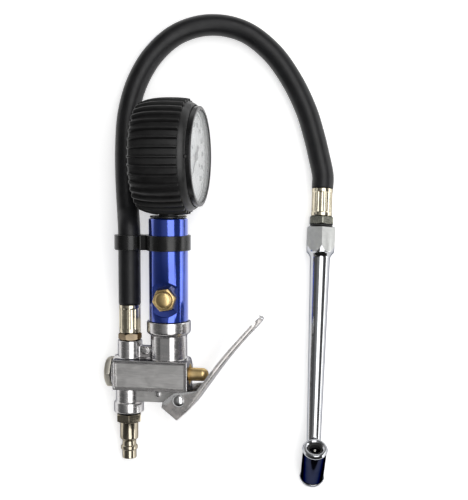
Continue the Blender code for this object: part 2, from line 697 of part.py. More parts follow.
    bored(turned("bore_chamber", rod(CHAMBER_DIAMETER, SEAT_FACE, BARREL_LEFT * 1.5), ROUND),
          along="-X")
    bored(turned("bore_plug", rod(PLUG_BORE, BARREL_LEFT - PLUG_THREAD, BARREL_LEFT * 1.5), ROUND),
          along="-X")
    bored(turned("bore_seat", rod(SEAT_HOLE, 0, SEAT_FACE + SEAT_WALL), SMALL), along="-X")
    chamber_length = BARREL_RIGHT + SEAT_FACE - SEAT_WALL
    bored(turned("bore_outlet", rod(OUTLET_CHAMBER, 0, chamber_length * 1.5), ROUND),
          (SEAT_WALL - SEAT_FACE, 0, 0), "X")
    bored(turned("bore_gland", rod(GLAND_BORE, BARREL_RIGHT - GLAND_DEPTH, BARREL_RIGHT * 2), ROUND),
          along="X")
    bored(turned("bore_handle_passage", rod(AIR_PASSAGE, 0, COLLAR_TOP), SMALL), along="Y")
    bored(turned("bore_handle", rod(SPIGOT_DIAMETER + SEAT_GAP * 2, socket_floor(), COLLAR_TOP * 2),
                 FINE), along="Y")
    bored(turned("bore_cross", rod(CROSS_PASSAGE, 0, HOSE_OFFSET), TINY),
          (0, CROSS_PASSAGE_HEIGHT, 0), "-X")
    bored(turned("bore_hose", rod(HOSE_THREAD, HOSE_BOSS_TOP - HOSE_THREAD_DEPTH, COLLAR_TOP),
                 SMALL), (-HOSE_OFFSET, 0, 0), "Y")
    bored(turned("bore_inlet", rod(INLET_PASSAGE, 0, INLET_BOSS_END * 2), SMALL),
          (-INLET_OFFSET, 0, 0), "-Y")
    bored(turned("bore_inlet_thread", rod(INLET_THREAD, INLET_BOSS_END - INLET_THREAD_DEPTH,
                                          INLET_BOSS_END * 2), ROUND), (-INLET_OFFSET, 0, 0), "-Y")
    bored(turned("bore_pin", rod(PIN_DIAMETER + SLIDING_GAP * 2, -LUG_THICKNESS, LUG_THICKNESS),
                 SMALL), (PIVOT_X, PIVOT_Y, 0))
    return barrel


def rectangle(half_x, half_y):
    return [(-half_x, -half_y), (half_x, -half_y), (half_x, half_y), (-half_x, half_y)]


def socket_floor():
    """Height of the floor under the handle's spigot and its seal."""
    return COLLAR_TOP + SEAT_GAP - SPIGOT_LENGTH - HANDLE_SEAL_HEIGHT - 2 * SEAT_GAP


def build_inlet_valve(frame, finishes):
    """Plug, gland, plunger, poppet and spring, all on the barrel axis."""
    washer_place = BARREL_LEFT + SEAT_GAP
    head_place = washer_place + WASHER_HEIGHT + SEAT_GAP
    place(turned("end_plug_seal", ring_profile(PLUG_BORE, PLUG_FLATS, washer_place,
                                               washer_place + WASHER_HEIGHT), ROUND, finishes["seal"]),
          frame, along="-X")
    plug = place(prism("end_plug", hexagon(PLUG_FLATS, 0.0), head_place, head_place + PLUG_HEAD,
                       finishes["nickel"]), frame, along="-X")
    corner = PLUG_FLATS / math.sqrt(3)
    trim = turned("plug_trim", [(0, 0), (corner * 1.1, 0), (corner * 1.1, head_place + PLUG_HEAD * 0.6),
                                (corner - PLUG_CHAMFER, head_place + PLUG_HEAD),
                                (0, head_place + PLUG_HEAD)], FINE)
    combine(plug, place(trim, frame, along="-X"), "INTERSECT")
    thread = turned("plug_thread", rod(PLUG_BORE - SEAT_GAP * 2, BARREL_LEFT - PLUG_THREAD,
                                       head_place + PLUG_HEAD / 2), ROUND)
    add(plug, place(thread, frame, along="-X"))
    spring_floor = BARREL_LEFT - PLUG_THREAD + PLUG_SPRING_DEPTH
    cut(plug, place(turned("plug_bore", rod(PLUG_SPRING_BORE, 0, spring_floor), SMALL), frame,
                    along="-X"))

    gland_inner = BARREL_RIGHT - GLAND_DEPTH + SEAT_GAP
    recess_floor = gland_inner + GLAND_SEAL_HEIGHT + SEAT_GAP
    plunger_hole = PLUNGER_DIAMETER + SLIDING_GAP * 2
    place(turned("plunger_gland", [
        (plunger_hole / 2, recess_floor), (GLAND_RECESS / 2, recess_floor),
        (GLAND_RECESS / 2, gland_inner), (GLAND_BORE / 2 - SEAT_GAP, gland_inner),
        (GLAND_BORE / 2 - SEAT_GAP, BARREL_RIGHT + SEAT_GAP),
        (plunger_hole / 2, BARREL_RIGHT + SEAT_GAP)], ROUND, finishes["brass"]), frame, along="X")
    place(turned("gland_seal", ring_profile(plunger_hole, GLAND_RECESS - SEAT_GAP * 2, gland_inner,
                                            gland_inner + GLAND_SEAL_HEIGHT), ROUND, finishes["seal"]),
          frame, along="X")

    seal_face = -SEAT_FACE - SEAT_GAP
    disc_face = seal_face - POPPET_SEAL_HEIGHT - SEAT_GAP
    nose_end = seal_face + SEAT_GAP * 2
    place(turned("poppet", [
        (0, disc_face - POPPET_THICKNESS - POPPET_TAIL_LENGTH),
        (POPPET_TAIL / 2, disc_face - POPPET_THICKNESS - POPPET_TAIL_LENGTH),
        (POPPET_TAIL / 2, disc_face - POPPET_THICKNESS),
        (POPPET_DIAMETER / 2, disc_face - POPPET_THICKNESS), (POPPET_DIAMETER / 2, disc_face),
        (POPPET_NOSE / 2, disc_face), (POPPET_NOSE / 2, nose_end), (0, nose_end)],
        SMALL, finishes["brass"]), frame, along="X")
    place(turned("poppet_seal", ring_profile(POPPET_NOSE + SLIDING_GAP * 2, POPPET_DIAMETER,
                                             disc_face + SEAT_GAP, seal_face), SMALL, finishes["seal"]),
          frame, along="X")
    spring_place = empty("valve_spring_frame", frame)
    spring_left = -spring_floor + SEAT_GAP
    spring_right = disc_face - POPPET_THICKNESS - SEAT_GAP
    place(spring("valve_spring", VALVE_SPRING_DIAMETER, VALVE_SPRING_WIRE, spring_left, spring_right,
                 VALVE_SPRING_TURNS, finishes["spring"]), spring_place, along="X")

    dome = dome_centre()
    radius = PLUNGER_DIAMETER / 2
    collar_right = gland_inner - SEAT_GAP
    profile = [(0, nose_end + SEAT_GAP), (PLUNGER_STEM / 2, nose_end + SEAT_GAP),
               (PLUNGER_STEM / 2, PLUNGER_BODY_START), (radius, PLUNGER_BODY_START),
               (radius, collar_right - PLUNGER_COLLAR_LENGTH),
               (PLUNGER_COLLAR / 2, collar_right - PLUNGER_COLLAR_LENGTH),
               (PLUNGER_COLLAR / 2, collar_right), (radius, collar_right)]
    profile += [(radius * math.cos(a), dome + radius * math.sin(a))
                for a in (math.radians(15 * i) for i in range(6))]
    profile.append((0, dome + radius))
    place(turned("plunger", profile, ROUND, finishes["brass"]), frame, along="X")


def arm_normal(start, end):
    """Unit vector from the arm's outer face to its inner face."""
    along = (Vector(end) - Vector(start)).normalized()
    return Vector((-along.y, along.x))


def dome_centre():
    """Place on the barrel axis of the plunger's round end, just clear of the lever's arm."""
    normal = arm_normal(ARM_LOWER_BEND, ARM_UPPER_BEND)
    reach = LEVER_SHEET + PLUNGER_DIAMETER / 2 + SEAT_GAP
    start = Vector(ARM_LOWER_BEND)
    return (reach + normal.dot(start)) / normal.x


def build_lever(frame, finishes):
    pivot = Vector((PIVOT_X, PIVOT_Y))
    bends = [Vector(point) - pivot for point in (ARM_HEEL, ARM_LOWER_BEND, ARM_UPPER_BEND, ARM_TIP)]
    base_half = CHEEK_INSIDE + CHEEK_THICKNESS
    normals = [arm_normal(bends[0], bends[1])]
    for i in (1, 2):
        before = arm_normal(bends[i - 1], bends[i])
        after = arm_normal(bends[i], bends[i + 1])
        normals.append((before + after) / (1 + before.dot(after)))
    normals.append(arm_normal(bends[2], bends[3]))

    stations = [(bends[0], normals[0], base_half), (bends[1], normals[1], base_half),
                (bends[2], normals[2], base_half)]
    last = bends[3] - bends[2]
    corner = LEVER_TIP_HALF_WIDTH * 0.7
    straight = 1.0 - corner / last.length
    stations.append((bends[2] + last * straight, normals[3], LEVER_TIP_HALF_WIDTH))
    for i in range(1, 7):
        angle = math.radians(15 * i)
        spot = bends[2] + last * (straight + (1 - straight) * math.sin(angle))
        half = LEVER_TIP_HALF_WIDTH - corner * (1 - math.cos(angle))
        stations.append((spot, normals[3], half))
    shape = bmesh.new()
    rings = []
    for outer, normal, half in stations:
        inner = outer + normal * LEVER_SHEET
        rings.append([shape.verts.new((outer.x, outer.y, -half)),
                      shape.verts.new((outer.x, outer.y, half)),
                      shape.verts.new((inner.x, inner.y, half)),
                      shape.verts.new((inner.x, inner.y, -half))])
    skin(shape, rings, closed=False)
    shape.faces.new(rings[0])
    shape.faces.new(rings[-1])
    lever_frame = empty("lever_frame", frame, (PIVOT_X, PIVOT_Y, 0))
    lever = place(from_bmesh("lever", shape, finishes["steel"]), lever_frame)

    inset = LEVER_SHEET * 0.4
    upper = bends[1].lerp(bends[2], (CHEEK_TOP[1] - ARM_LOWER_BEND[1])
                          / (ARM_UPPER_BEND[1] - ARM_LOWER_BEND[1]))
    arm_side = arm_normal(bends[1], bends[2])
    outline = [Vector(point) - pivot for point in (CHEEK_TOP, CHEEK_SHOULDER, CHEEK_CORNER)]
    outline += [bends[0] + normals[0] * inset, bends[1] + normals[1] * inset,
                upper + arm_side * inset]
    outline = [tuple(point) for point in outline]
    for side, low in (("front", CHEEK_INSIDE), ("back", -base_half)):
        cheek = prism("cheek_" + side, outline, low, low + CHEEK_THICKNESS)
        add(lever, place(cheek, lever_frame))
    hole = turned("lever_hole", rod(PIN_DIAMETER + SLIDING_GAP * 2, -base_half * 2, base_half * 2),
                  SMALL)
    cut(lever, place(hole, lever_frame))
    direction = last.normalized()
    for i in range(GRIP_RIDGES):
        centre = bends[3] - direction * (corner + GRIP_PITCH * (i + 0.5))
        foot = centre + normals[3] * GRIP_HEIGHT
        ridge = prism("grip_ridge_%d" % (i + 1), [
            tuple(foot - direction * GRIP_PITCH * 0.35), tuple(centre - normals[3] * GRIP_HEIGHT),
            tuple(foot + direction * GRIP_PITCH * 0.35)],
            -LEVER_TIP_HALF_WIDTH * 0.85, LEVER_TIP_HALF_WIDTH * 0.85)
        add(lever, place(ridge, lever_frame))

    head_face = base_half + SEAT_GAP
    profile = [(0, -head_face - PIN_HEAD_HEIGHT)]
    dome = [(PIN_HEAD_DIAMETER / 2 * math.cos(a), PIN_HEAD_HEIGHT * math.sin(a))
            for a in (math.radians(18 * i) for i in range(4, -1, -1))]
    profile += [(r, -head_face - h) for r, h in dome]
    profile += [(PIN_DIAMETER / 2, -head_face), (PIN_DIAMETER / 2, head_face)]
    profile += [(r, head_face + h) for r, h in reversed(dome)]
    profile.append((0, head_face + PIN_HEAD_HEIGHT))
    place(turned("lever_pin", profile, SMALL, finishes["steel"]), frame, (PIVOT_X, PIVOT_Y, 0))


def build_inlet_nipple(frame, finishes):
    """Push-in nipple under the inlet boss, drawn downwards from the barrel axis."""
    place_x = (-INLET_OFFSET, 0, 0)
    washer_top = INLET_BOSS_END + SEAT_GAP
    place(turned("inlet_seal", ring_profile(INLET_THREAD, NIPPLE_FLATS, washer_top,
                                            washer_top + WASHER_HEIGHT), ROUND, finishes["seal"]),
          frame, place_x, "-Y")
    hex_top = washer_top + WASHER_HEIGHT + SEAT_GAP
    hex_end = hex_top + NIPPLE_HEX
    nipple = place(prism("inlet_nipple", hexagon(NIPPLE_FLATS, 75.0), hex_top, hex_end,
                         finishes["nickel"]), frame, place_x, "-Y")
    shank_end = hex_end + NIPPLE_SHANK_LENGTH
    groove_end = shank_end + NIPPLE_GROOVE_LENGTH
    ridge_end = groove_end + NIPPLE_RIDGE_LENGTH
    tip_end = ridge_end + NIPPLE_TIP_LENGTH
    bevel = NIPPLE_CHAMFER
    thread_start = INLET_BOSS_END - INLET_THREAD_DEPTH + SEAT_GAP
    stem = turned("nipple_stem", [
        (0, thread_start), (INLET_THREAD / 2 - SEAT_GAP, thread_start),
        (INLET_THREAD / 2 - SEAT_GAP, hex_top + NIPPLE_HEX / 2),
        (NIPPLE_SHANK / 2, hex_top + NIPPLE_HEX / 2), (NIPPLE_SHANK / 2, shank_end - bevel),
        (NIPPLE_GROOVE / 2, shank_end + bevel), (NIPPLE_GROOVE / 2, groove_end - bevel),
        (NIPPLE_RIDGE / 2, groove_end + bevel / 2), (NIPPLE_RIDGE / 2, ridge_end),
        (NIPPLE_TIP / 2, ridge_end + bevel), (NIPPLE_TIP / 2, tip_end - bevel / 2),
        (NIPPLE_TIP / 2 - bevel / 2, tip_end), (0, tip_end)], ROUND)
    add(nipple, place(stem, frame, place_x, "-Y"))
    bore = turned("nipple_bore", rod(NIPPLE_BORE, 0, tip_end * 2), SMALL)
    cut(nipple, place(bore, frame, place_x, "-Y"))


# ================================================================ handle
def handle_top():
    return COLLAR_TOP + SEAT_GAP + HANDLE_LENGTH


def build_handle(frame, finishes):
    foot = COLLAR_TOP + SEAT_GAP
    top = handle_top()
    outer = HANDLE_DIAMETER / 2
    handle = place(turned("handle_tube", [
        (HANDLE_BORE / 2, foot - SPIGOT_LENGTH), (SPIGOT_DIAMETER / 2, foot - SPIGOT_LENGTH),
        (SPIGOT_DIAMETER / 2, foot), (outer, foot), (outer, top - HANDLE_EDGE),
        (outer - HANDLE_EDGE * 0.3, top - HANDLE_EDGE * 0.3), (outer - HANDLE_EDGE, top),
        (TOP_BORE / 2, top), (TOP_BORE / 2, top - TOP_BORE_DEPTH),
        (HANDLE_BORE / 2, top - TOP_BORE_DEPTH)], FINE, finishes["blue"]), frame, along="Y")
    flat = outer - SPOT_FACE_DEPTH
    centre = (0, RELEASE_HEIGHT, 0)
    cut(handle, place(turned("spot_face", rod(SPOT_FACE_DIAMETER, flat, outer * 2), FINE), frame,
                      centre))
    cut(handle, place(turned("release_hole", rod(RELEASE_THREAD + SEAT_GAP * 2, 0, outer * 2), ROUND),
                      frame, centre))
    seal_low = socket_floor() + SEAT_GAP
    place(turned("handle_seal", ring_profile(HANDLE_BORE, SPIGOT_DIAMETER - SEAT_GAP * 2, seal_low,
                                             seal_low + HANDLE_SEAL_HEIGHT), ROUND, finishes["seal"]),
          frame, along="Y")


def build_release_valve(frame, finishes):
    """Hexagon body with a sprung, domed button, on the handle's spot face."""
    centre = (0, RELEASE_HEIGHT, 0)
    flat = HANDLE_DIAMETER / 2 - SPOT_FACE_DEPTH + SEAT_GAP
    top = flat + RELEASE_HEX
    floor = flat + RELEASE_FLOOR
    thread_end = flat - RELEASE_THREAD_LENGTH
    body = place(prism("bleed_body", hexagon(RELEASE_FLATS, RELEASE_TURN), flat, top,
                       finishes["brass"]), frame, centre)
    add(body, place(turned("bleed_thread", rod(RELEASE_THREAD, thread_end, flat + RELEASE_FLOOR / 2),
                           ROUND), frame, centre))
    cut(body, place(turned("bleed_recess", rod(RELEASE_RECESS, floor, top * 2), ROUND), frame,
                    centre))
    stem_hole = BUTTON_STEM + SEAT_GAP * 2
    cut(body, place(turned("bleed_hole", rod(stem_hole, 0, top * 2), TINY), frame, centre))

    skirt = floor + BUTTON_LIFT
    shoulder = skirt + BUTTON_SKIRT
    inner_top = shoulder + BUTTON_DOME - BUTTON_WALL
    radius = BUTTON_DIAMETER / 2
    seal_top = thread_end - SEAT_GAP
    stem_end = seal_top - RELEASE_SEAL_HEIGHT - RETAINER_HEIGHT - SEAT_GAP * 2
    profile = [(0, stem_end), (BUTTON_STEM / 2, stem_end), (BUTTON_STEM / 2, inner_top),
               (radius - BUTTON_WALL, inner_top), (radius - BUTTON_WALL, skirt), (radius, skirt)]
    profile += [(radius * math.cos(a), shoulder + BUTTON_DOME * math.sin(a))
                for a in (math.radians(18 * i) for i in range(5))]
    profile.append((0, shoulder + BUTTON_DOME))
    place(turned("bleed_button", profile, SMALL, finishes["brass"]), frame, centre)
    hole = BUTTON_STEM + SLIDING_GAP * 2
    seal_low = seal_top - RELEASE_SEAL_HEIGHT
    place(turned("bleed_seal", ring_profile(hole, RELEASE_SEAL_DIAMETER, seal_low, seal_top), SMALL,
                 finishes["seal"]), frame, centre)
    nut_top = seal_low - SEAT_GAP
    place(turned("bleed_retainer", ring_profile(hole, RETAINER_DIAMETER, nut_top - RETAINER_HEIGHT,
                                                nut_top), SMALL, finishes["brass"]), frame, centre)
    place(spring("bleed_spring", RELEASE_SPRING_DIAMETER, RELEASE_SPRING_WIRE, floor + SEAT_GAP,
                 inner_top - SEAT_GAP, RELEASE_SPRING_TURNS, finishes["spring"]), frame, centre)


def build_clip(frame, finishes):
    """Figure-of-eight clip round the handle and the hose."""
    hole = HANDLE_DIAMETER / 2 + SEAT_GAP
    hose_hole = HOSE_DIAMETER / 2 + SEAT_GAP
    middle = (0, CLIP_HEIGHT, 0)
    low, high = -CLIP_WIDTH / 2, CLIP_WIDTH / 2
    clip = place(turned("hose_clip", rod(2 * (hole + CLIP_HANDLE_BAND), low, high), FINE,
                        finishes["plastic"]), frame, middle, "Y")
    hose_side = (-HOSE_OFFSET, CLIP_HEIGHT, 0)
    add(clip, place(turned("clip_hose_band", rod(2 * (hose_hole + CLIP_HOSE_BAND), low, high), ROUND),
                    frame, hose_side, "Y"))
    web = prism("clip_web", rectangle(HOSE_OFFSET / 2, CLIP_WEB / 2), low, high)
    add(clip, place(web, frame, (-HOSE_OFFSET / 2, CLIP_HEIGHT, 0), "Y"))
    cut(clip, place(turned("clip_handle_hole", rod(2 * hole, low * 2, high * 2), FINE), frame,
                    middle, "Y"))
    cut(clip, place(turned("clip_hose_hole", rod(2 * hose_hole, low * 2, high * 2), ROUND), frame,
                    hose_side, "Y"))


# ================================================================ gauge
def build_adaptor(frame, finishes):
    top = handle_top()
    flange_low = top + SEAT_GAP
    flange_top = flange_low + ADAPTOR_FLANGE_HEIGHT
    spigot_low = top - TOP_BORE_DEPTH + SEAT_GAP
    thread_floor = flange_top - ADAPTOR_THREAD_DEPTH
    place(turned("gauge_adaptor", [
        (ADAPTOR_PASSAGE / 2, spigot_low), (TOP_BORE / 2 - SEAT_GAP, spigot_low),
        (TOP_BORE / 2 - SEAT_GAP, flange_low), (ADAPTOR_FLANGE / 2, flange_low),
        (ADAPTOR_FLANGE / 2, flange_top), (ADAPTOR_THREAD / 2, flange_top),
        (ADAPTOR_THREAD / 2, thread_floor), (ADAPTOR_PASSAGE / 2, thread_floor)],
        ROUND, finishes["black_metal"]), frame, along="Y")
    place(turned("gauge_seal", ring_profile(STEM_BORE, STEM_DIAMETER, thread_floor + SEAT_GAP,
                                            thread_floor + SEAT_GAP + WASHER_HEIGHT), SMALL,
                 finishes["seal"]), frame, along="Y")
    return thread_floor + 2 * SEAT_GAP + WASHER_HEIGHT


def around(angle, radius):
    """Place in the gauge's plane (its X is the handle's Y, its Y the handle's Z), measured from
    the handle's top towards the front."""
    turn = math.radians(angle)
    return (radius * math.cos(turn), radius * math.sin(turn))


def build_gauge(frame, finishes, stem_low):
    """The gauge frame has Z out of the dial, X up the handle and Y to the name-plate side."""
    gauge = empty("gauge_frame", frame, (0, GAUGE_HEIGHT, 0))
    gauge.rotation_euler = Matrix(((0, 0, 1), (1, 0, 0), (0, 1, 0))).to_euler()

    # shells
    outer = CASE_DIAMETER / 2
    case = place(turned("gauge_case", [
        (0, CASE_BACK), (outer, CASE_BACK), (outer, CASE_RIM), (outer - CASE_WALL, CASE_RIM),
        (outer - CASE_WALL, CASE_BACK + CASE_WALL), (0, CASE_BACK + CASE_WALL)], FINE,
        finishes["black_metal"]), gauge)
    stem_hole = turned("case_stem_hole", rod(STEM_DIAMETER + SEAT_GAP * 2, 0, outer * 1.5), SMALL)
    cut(case, place(stem_hole, gauge, along="-X"))
    bezel_outer = BEZEL_DIAMETER / 2
    lip_back = BEZEL_FRONT - BEZEL_LIP
    place(turned("bezel", [
        (bezel_outer - BEZEL_WALL, BEZEL_BACK), (bezel_outer, BEZEL_BACK),
        (bezel_outer, lip_back), (bezel_outer - BEZEL_LIP, BEZEL_FRONT),
        (BEZEL_OPENING / 2, BEZEL_FRONT), (BEZEL_OPENING / 2, lip_back),
        (bezel_outer - BEZEL_WALL, lip_back)], FINE, finishes["black_metal"]), gauge)
    lens_front = lip_back - SEAT_GAP
    lens_back = lens_front - LENS_THICKNESS
    lens_diameter = 2 * (bezel_outer - BEZEL_WALL - SEAT_GAP)
    place(turned("lens", rod(lens_diameter, lens_back, lens_front), FINE, finishes["clear"]), gauge)
    place(turned("lens_gasket", ring_profile(lens_diameter - 2 * GASKET_WIDTH, lens_diameter,
                                             CASE_RIM + SEAT_GAP,
                                             CASE_RIM + SEAT_GAP + GASKET_HEIGHT), FINE,
                 finishes["seal"]), gauge)
    build_boot(gauge, finishes)
    build_movement(gauge, finishes, stem_low)


def build_boot(gauge, finishes):
    """Ribbed rubber cup: each rib is four points round, and the lip is thin and plain."""
    inside = CASE_DIAMETER / 2 + SEAT_GAP * 1.3
    lip_inside = BEZEL_DIAMETER / 2 + SEAT_GAP
    lip_outside = BOOT_LIP_DIAMETER / 2
    rib_half = BOOT_RIB_SHARE / 2
    flank = 0.10
    around_rib = ((-rib_half, 0.0), (rib_half, 0.0), (rib_half + flank, 1.0),
                  (1.0 - rib_half - flank, 1.0))
    profile = [(BOOT_BACK, BOOT_BACK_RADIUS, 0.5)]
    profile += [(place_z, radius, 1.0) for place_z, radius in BOOT_PROFILE]
    profile += [(BOOT_SHOULDER[0], BOOT_SHOULDER[1], 0.0), (BOOT_FRONT - 0.0006, lip_outside, 0.0),
                (BOOT_FRONT, lip_outside - 0.0004, 0.0)]
    shape = bmesh.new()
    rings = []
    for height, radius, groove in profile:
        ring = []
        for rib in range(BOOT_RIBS):
            for step, depth in around_rib:
                angle = 2 * math.pi * (rib + step) / BOOT_RIBS
                reach = radius - BOOT_GROOVE * depth * groove
                ring.append(shape.verts.new((reach * math.cos(angle), reach * math.sin(angle),
                                             height)))
        rings.append(ring)
    skin(shape, rings, closed=False)
    shape.faces.new(rings[0])
    shape.faces.new(rings[-1])
    boot = place(from_bmesh("gauge_boot", shape, finishes["rubber"]), gauge)
    pocket = turned("boot_pocket", [
        (0, CASE_BACK - SEAT_GAP), (inside, CASE_BACK - SEAT_GAP), (inside, BOOT_LIP_STEP),
        (lip_inside, BOOT_LIP_STEP), (lip_inside, BOOT_FRONT * 1.5), (0, BOOT_FRONT * 1.5)], FINE)
    cut(boot, place(pocket, gauge))
    hole = turned("boot_stem_hole", rod(STEM_DIAMETER + SEAT_GAP * 4, 0, CASE_DIAMETER), SMALL)
    cut(boot, place(hole, gauge, along="-X"))


def tooth_ring(teeth, first, count, shift):
    """Outline points of some teeth: trapezoids on the pitch circle of a gear with that many."""
    pitch = MODULE * teeth / 2
    step = 360.0 / teeth
    half = TOOTH_SHARE / 2 * step
    points = []
    for i in range(first, first + count):
        middle = (i + shift) * step
        points += arc((0, 0), pitch - MODULE * 1.25, middle - half * 1.6, middle - half * 1.6, 1)[:1]
        points += arc((0, 0), pitch, middle - half, middle - half, 1)[:1]
        points += arc((0, 0), pitch + MODULE * 0.8, middle - half * 0.5, middle - half * 0.5, 1)[:1]
        points += arc((0, 0), pitch + MODULE * 0.8, middle + half * 0.5, middle + half * 0.5, 1)[:1]
        points += arc((0, 0), pitch, middle + half, middle + half, 1)[:1]
        points += arc((0, 0), pitch - MODULE * 1.25, middle + half * 1.6, middle + half * 1.6, 1)[:1]
    return points


def rotated(points, angle):
    turn = Matrix.Rotation(math.radians(angle), 2)
    return [tuple(turn @ Vector(point)) for point in points]


def build_movement(gauge, finishes, stem_low):
    """Socket, bourdon tube, plates, gears, link, hairspring, dial and pointer."""
    block = place(prism("gauge_socket", [(BLOCK_LOW, -BLOCK_WIDTH / 2), (BLOCK_TOP, -BLOCK_WIDTH / 2),
                                         (BLOCK_TOP, BLOCK_WIDTH / 2), (BLOCK_LOW, BLOCK_WIDTH / 2)],
                        -BLOCK_DEPTH / 2, BLOCK_DEPTH / 2, finishes["brass"]), gauge)
    stem_length = GAUGE_HEIGHT - stem_low
    stem = turned("socket_stem", rod(STEM_DIAMETER, -BLOCK_LOW - BLOCK_WIDTH / 4, stem_length), SMALL)
    add(block, place(stem, gauge, along="-X"))
    bore = turned("socket_bore", rod(STEM_BORE, -BLOCK_TOP + BLOCK_WIDTH / 4, stem_length * 2), TINY)
    cut(block, place(bore, gauge, along="-X"))

    # bourdon tube, flattened, round the gauge axis from the block's front side
    tube_start = math.degrees(math.asin((BLOCK_WIDTH / 2 + SEAT_GAP)
                                        / (BOURDON_RADIUS - BOURDON_THICKNESS / 2)))
    stations = 24
    shape = bmesh.new()
    rings = []
    for i in range(stations + 1):
        angle = 180.0 - tube_start - (BOURDON_END - tube_start) * i / stations
        ring = []
        for k in range(8):
            side = 2 * math.pi * k / 8
            reach = BOURDON_RADIUS + BOURDON_THICKNESS / 2 * math.cos(side)
            ring.append(shape.verts.new((*around(angle, reach), BOURDON_WIDTH / 2 * math.sin(side))))
        rings.append(ring)
    skin(shape, rings, closed=False)
    shape.faces.new(rings[0])
    shape.faces.new(rings[-1])
    bourdon = place(from_bmesh("bourdon_tube", shape, finishes["brass"]), gauge)
    tip = Vector(around(180.0 - BOURDON_END + 4.0, BOURDON_RADIUS))
    post = turned("bourdon_post", rod(LINK_PIN, 0, LINK_LEVEL + LINK_THICKNESS * 1.5), TINY)
    add(bourdon, place(post, gauge, (*tip, 0)))

    # gear centres
    pinion_radius = MODULE * PINION_TEETH / 2
    sector_teeth = PINION_TEETH * SECTOR_RATIO
    centre_distance = pinion_radius * (1 + SECTOR_RATIO)
    pivot = Vector(around(PIVOT_ANGLE, centre_distance))
    facing = PIVOT_ANGLE + 180.0
    tail = Vector(around(facing + TAIL_TURN, TAIL_LENGTH))
    tail_spot = pivot + tail

    # plates with their pillars and posts
    back_top = BACK_PLATE + PLATE_METAL
    front_low = back_top + PLATE_SPACING
    front_top = front_low + PLATE_METAL
    screw_spots = [Vector((BLOCK_TOP - 0.0030, side * BLOCK_WIDTH * 0.28)) for side in (-1, 1)]
    pillar_spots = [Vector(around(PIVOT_ANGLE - 70.0, centre_distance * 0.80)),
                    Vector(around(PIVOT_ANGLE + 78.0, centre_distance * 0.75))]
    dial_spots = [Vector(around(angle, DIAL_POST_REACH)) for angle in (60.0, 240.0)]
    hole = ARBOR_DIAMETER + SLIDING_GAP * 2
    plate_radius = DIAL_POST
    spots = [Vector((0, 0)), pivot] + screw_spots + pillar_spots
    back = place(prism("movement_back_plate",
                       hull_of_circles([(spot, plate_radius) for spot in spots]),
                       BACK_PLATE, back_top, finishes["brass"]), gauge)
    for i, spot in enumerate(pillar_spots):
        pillar = turned("pillar_%d" % (i + 1), rod(DIAL_POST * 0.8, BACK_PLATE + PLATE_METAL / 2,
                                                   front_low - SEAT_GAP), TINY)
        add(back, place(pillar, gauge, (*spot, 0)))
    front_spots = [Vector((0, 0)), pivot] + pillar_spots + dial_spots
    front = place(prism("movement_front_plate",
                        hull_of_circles([(spot, plate_radius) for spot in front_spots]),
                        front_low, front_top, finishes["brass"]), gauge)
    dial_back = DIAL_FACE - DIAL_THICKNESS
    screw_depth = 0.0030
    for i, spot in enumerate(dial_spots):
        post = turned("dial_post_%d" % (i + 1), rod(DIAL_POST, front_low + PLATE_METAL / 2,
                                                    dial_back - SEAT_GAP), TINY)
        add(front, place(post, gauge, (*spot, 0)))
        cut(front, place(turned("dial_post_hole_%d" % (i + 1),
                                rod(SCREW_SHANK + SLIDING_GAP * 2, dial_back - screw_depth - SEAT_GAP,
                                    DIAL_FACE), TINY), gauge, (*spot, 0)))
        place(turned("dial_screw_%d" % (i + 1), [
            (0, dial_back - screw_depth), (SCREW_SHANK / 2, dial_back - screw_depth),
            (SCREW_SHANK / 2, DIAL_FACE + SEAT_GAP / 2), (SCREW_HEAD / 2, DIAL_FACE + SEAT_GAP / 2),
            (SCREW_HEAD / 2, DIAL_FACE + SEAT_GAP / 2 + SCREW_HEAD_HEIGHT / 2),
            (0, DIAL_FACE + SEAT_GAP / 2 + SCREW_HEAD_HEIGHT / 2)], TINY, finishes["steel"]),
            gauge, (*spot, 0))
    for i, spot in enumerate(screw_spots):
        depth = -BLOCK_DEPTH * 0.1
        for target in (back, block):
            cut(target, place(turned("%s_screw_hole_%d" % (target.name, i + 1),
                                     rod(SCREW_SHANK + SLIDING_GAP * 2, depth, back_top * 2), TINY),
                              gauge, (*spot, 0)))
        place(turned("movement_screw_%d" % (i + 1), [
            (0, depth + SEAT_GAP), (SCREW_SHANK / 2, depth + SEAT_GAP),
            (SCREW_SHANK / 2, back_top + SLIDING_GAP), (SCREW_HEAD / 2, back_top + SLIDING_GAP),
            (SCREW_HEAD / 2, back_top + SLIDING_GAP + SCREW_HEAD_HEIGHT),
            (0, back_top + SLIDING_GAP + SCREW_HEAD_HEIGHT)], TINY, finishes["steel"]),
            gauge, (*spot, 0))
    for plate in (back, front):
        for spot in (Vector((0, 0)), pivot):
            number = "centre" if spot.length == 0 else "pivot"
            cut(plate, place(turned("%s_%s_hole" % (plate.name, number),
                                    rod(hole, 0, front_top * 2), TINY), gauge, (*spot, 0)))

    # dial
    dial = place(turned("dial", ring_profile(ARBOR_DIAMETER + SEAT_GAP * 6, DIAL_DIAMETER, dial_back,
                                             DIAL_FACE), FINE, finishes["white"]), gauge)
    for i, spot in enumerate(dial_spots):
        cut(dial, place(turned("dial_hole_%d" % (i + 1), rod(SCREW_SHANK + SLIDING_GAP * 2, 0,
                                                             DIAL_FACE * 2), TINY), gauge, (*spot, 0)))

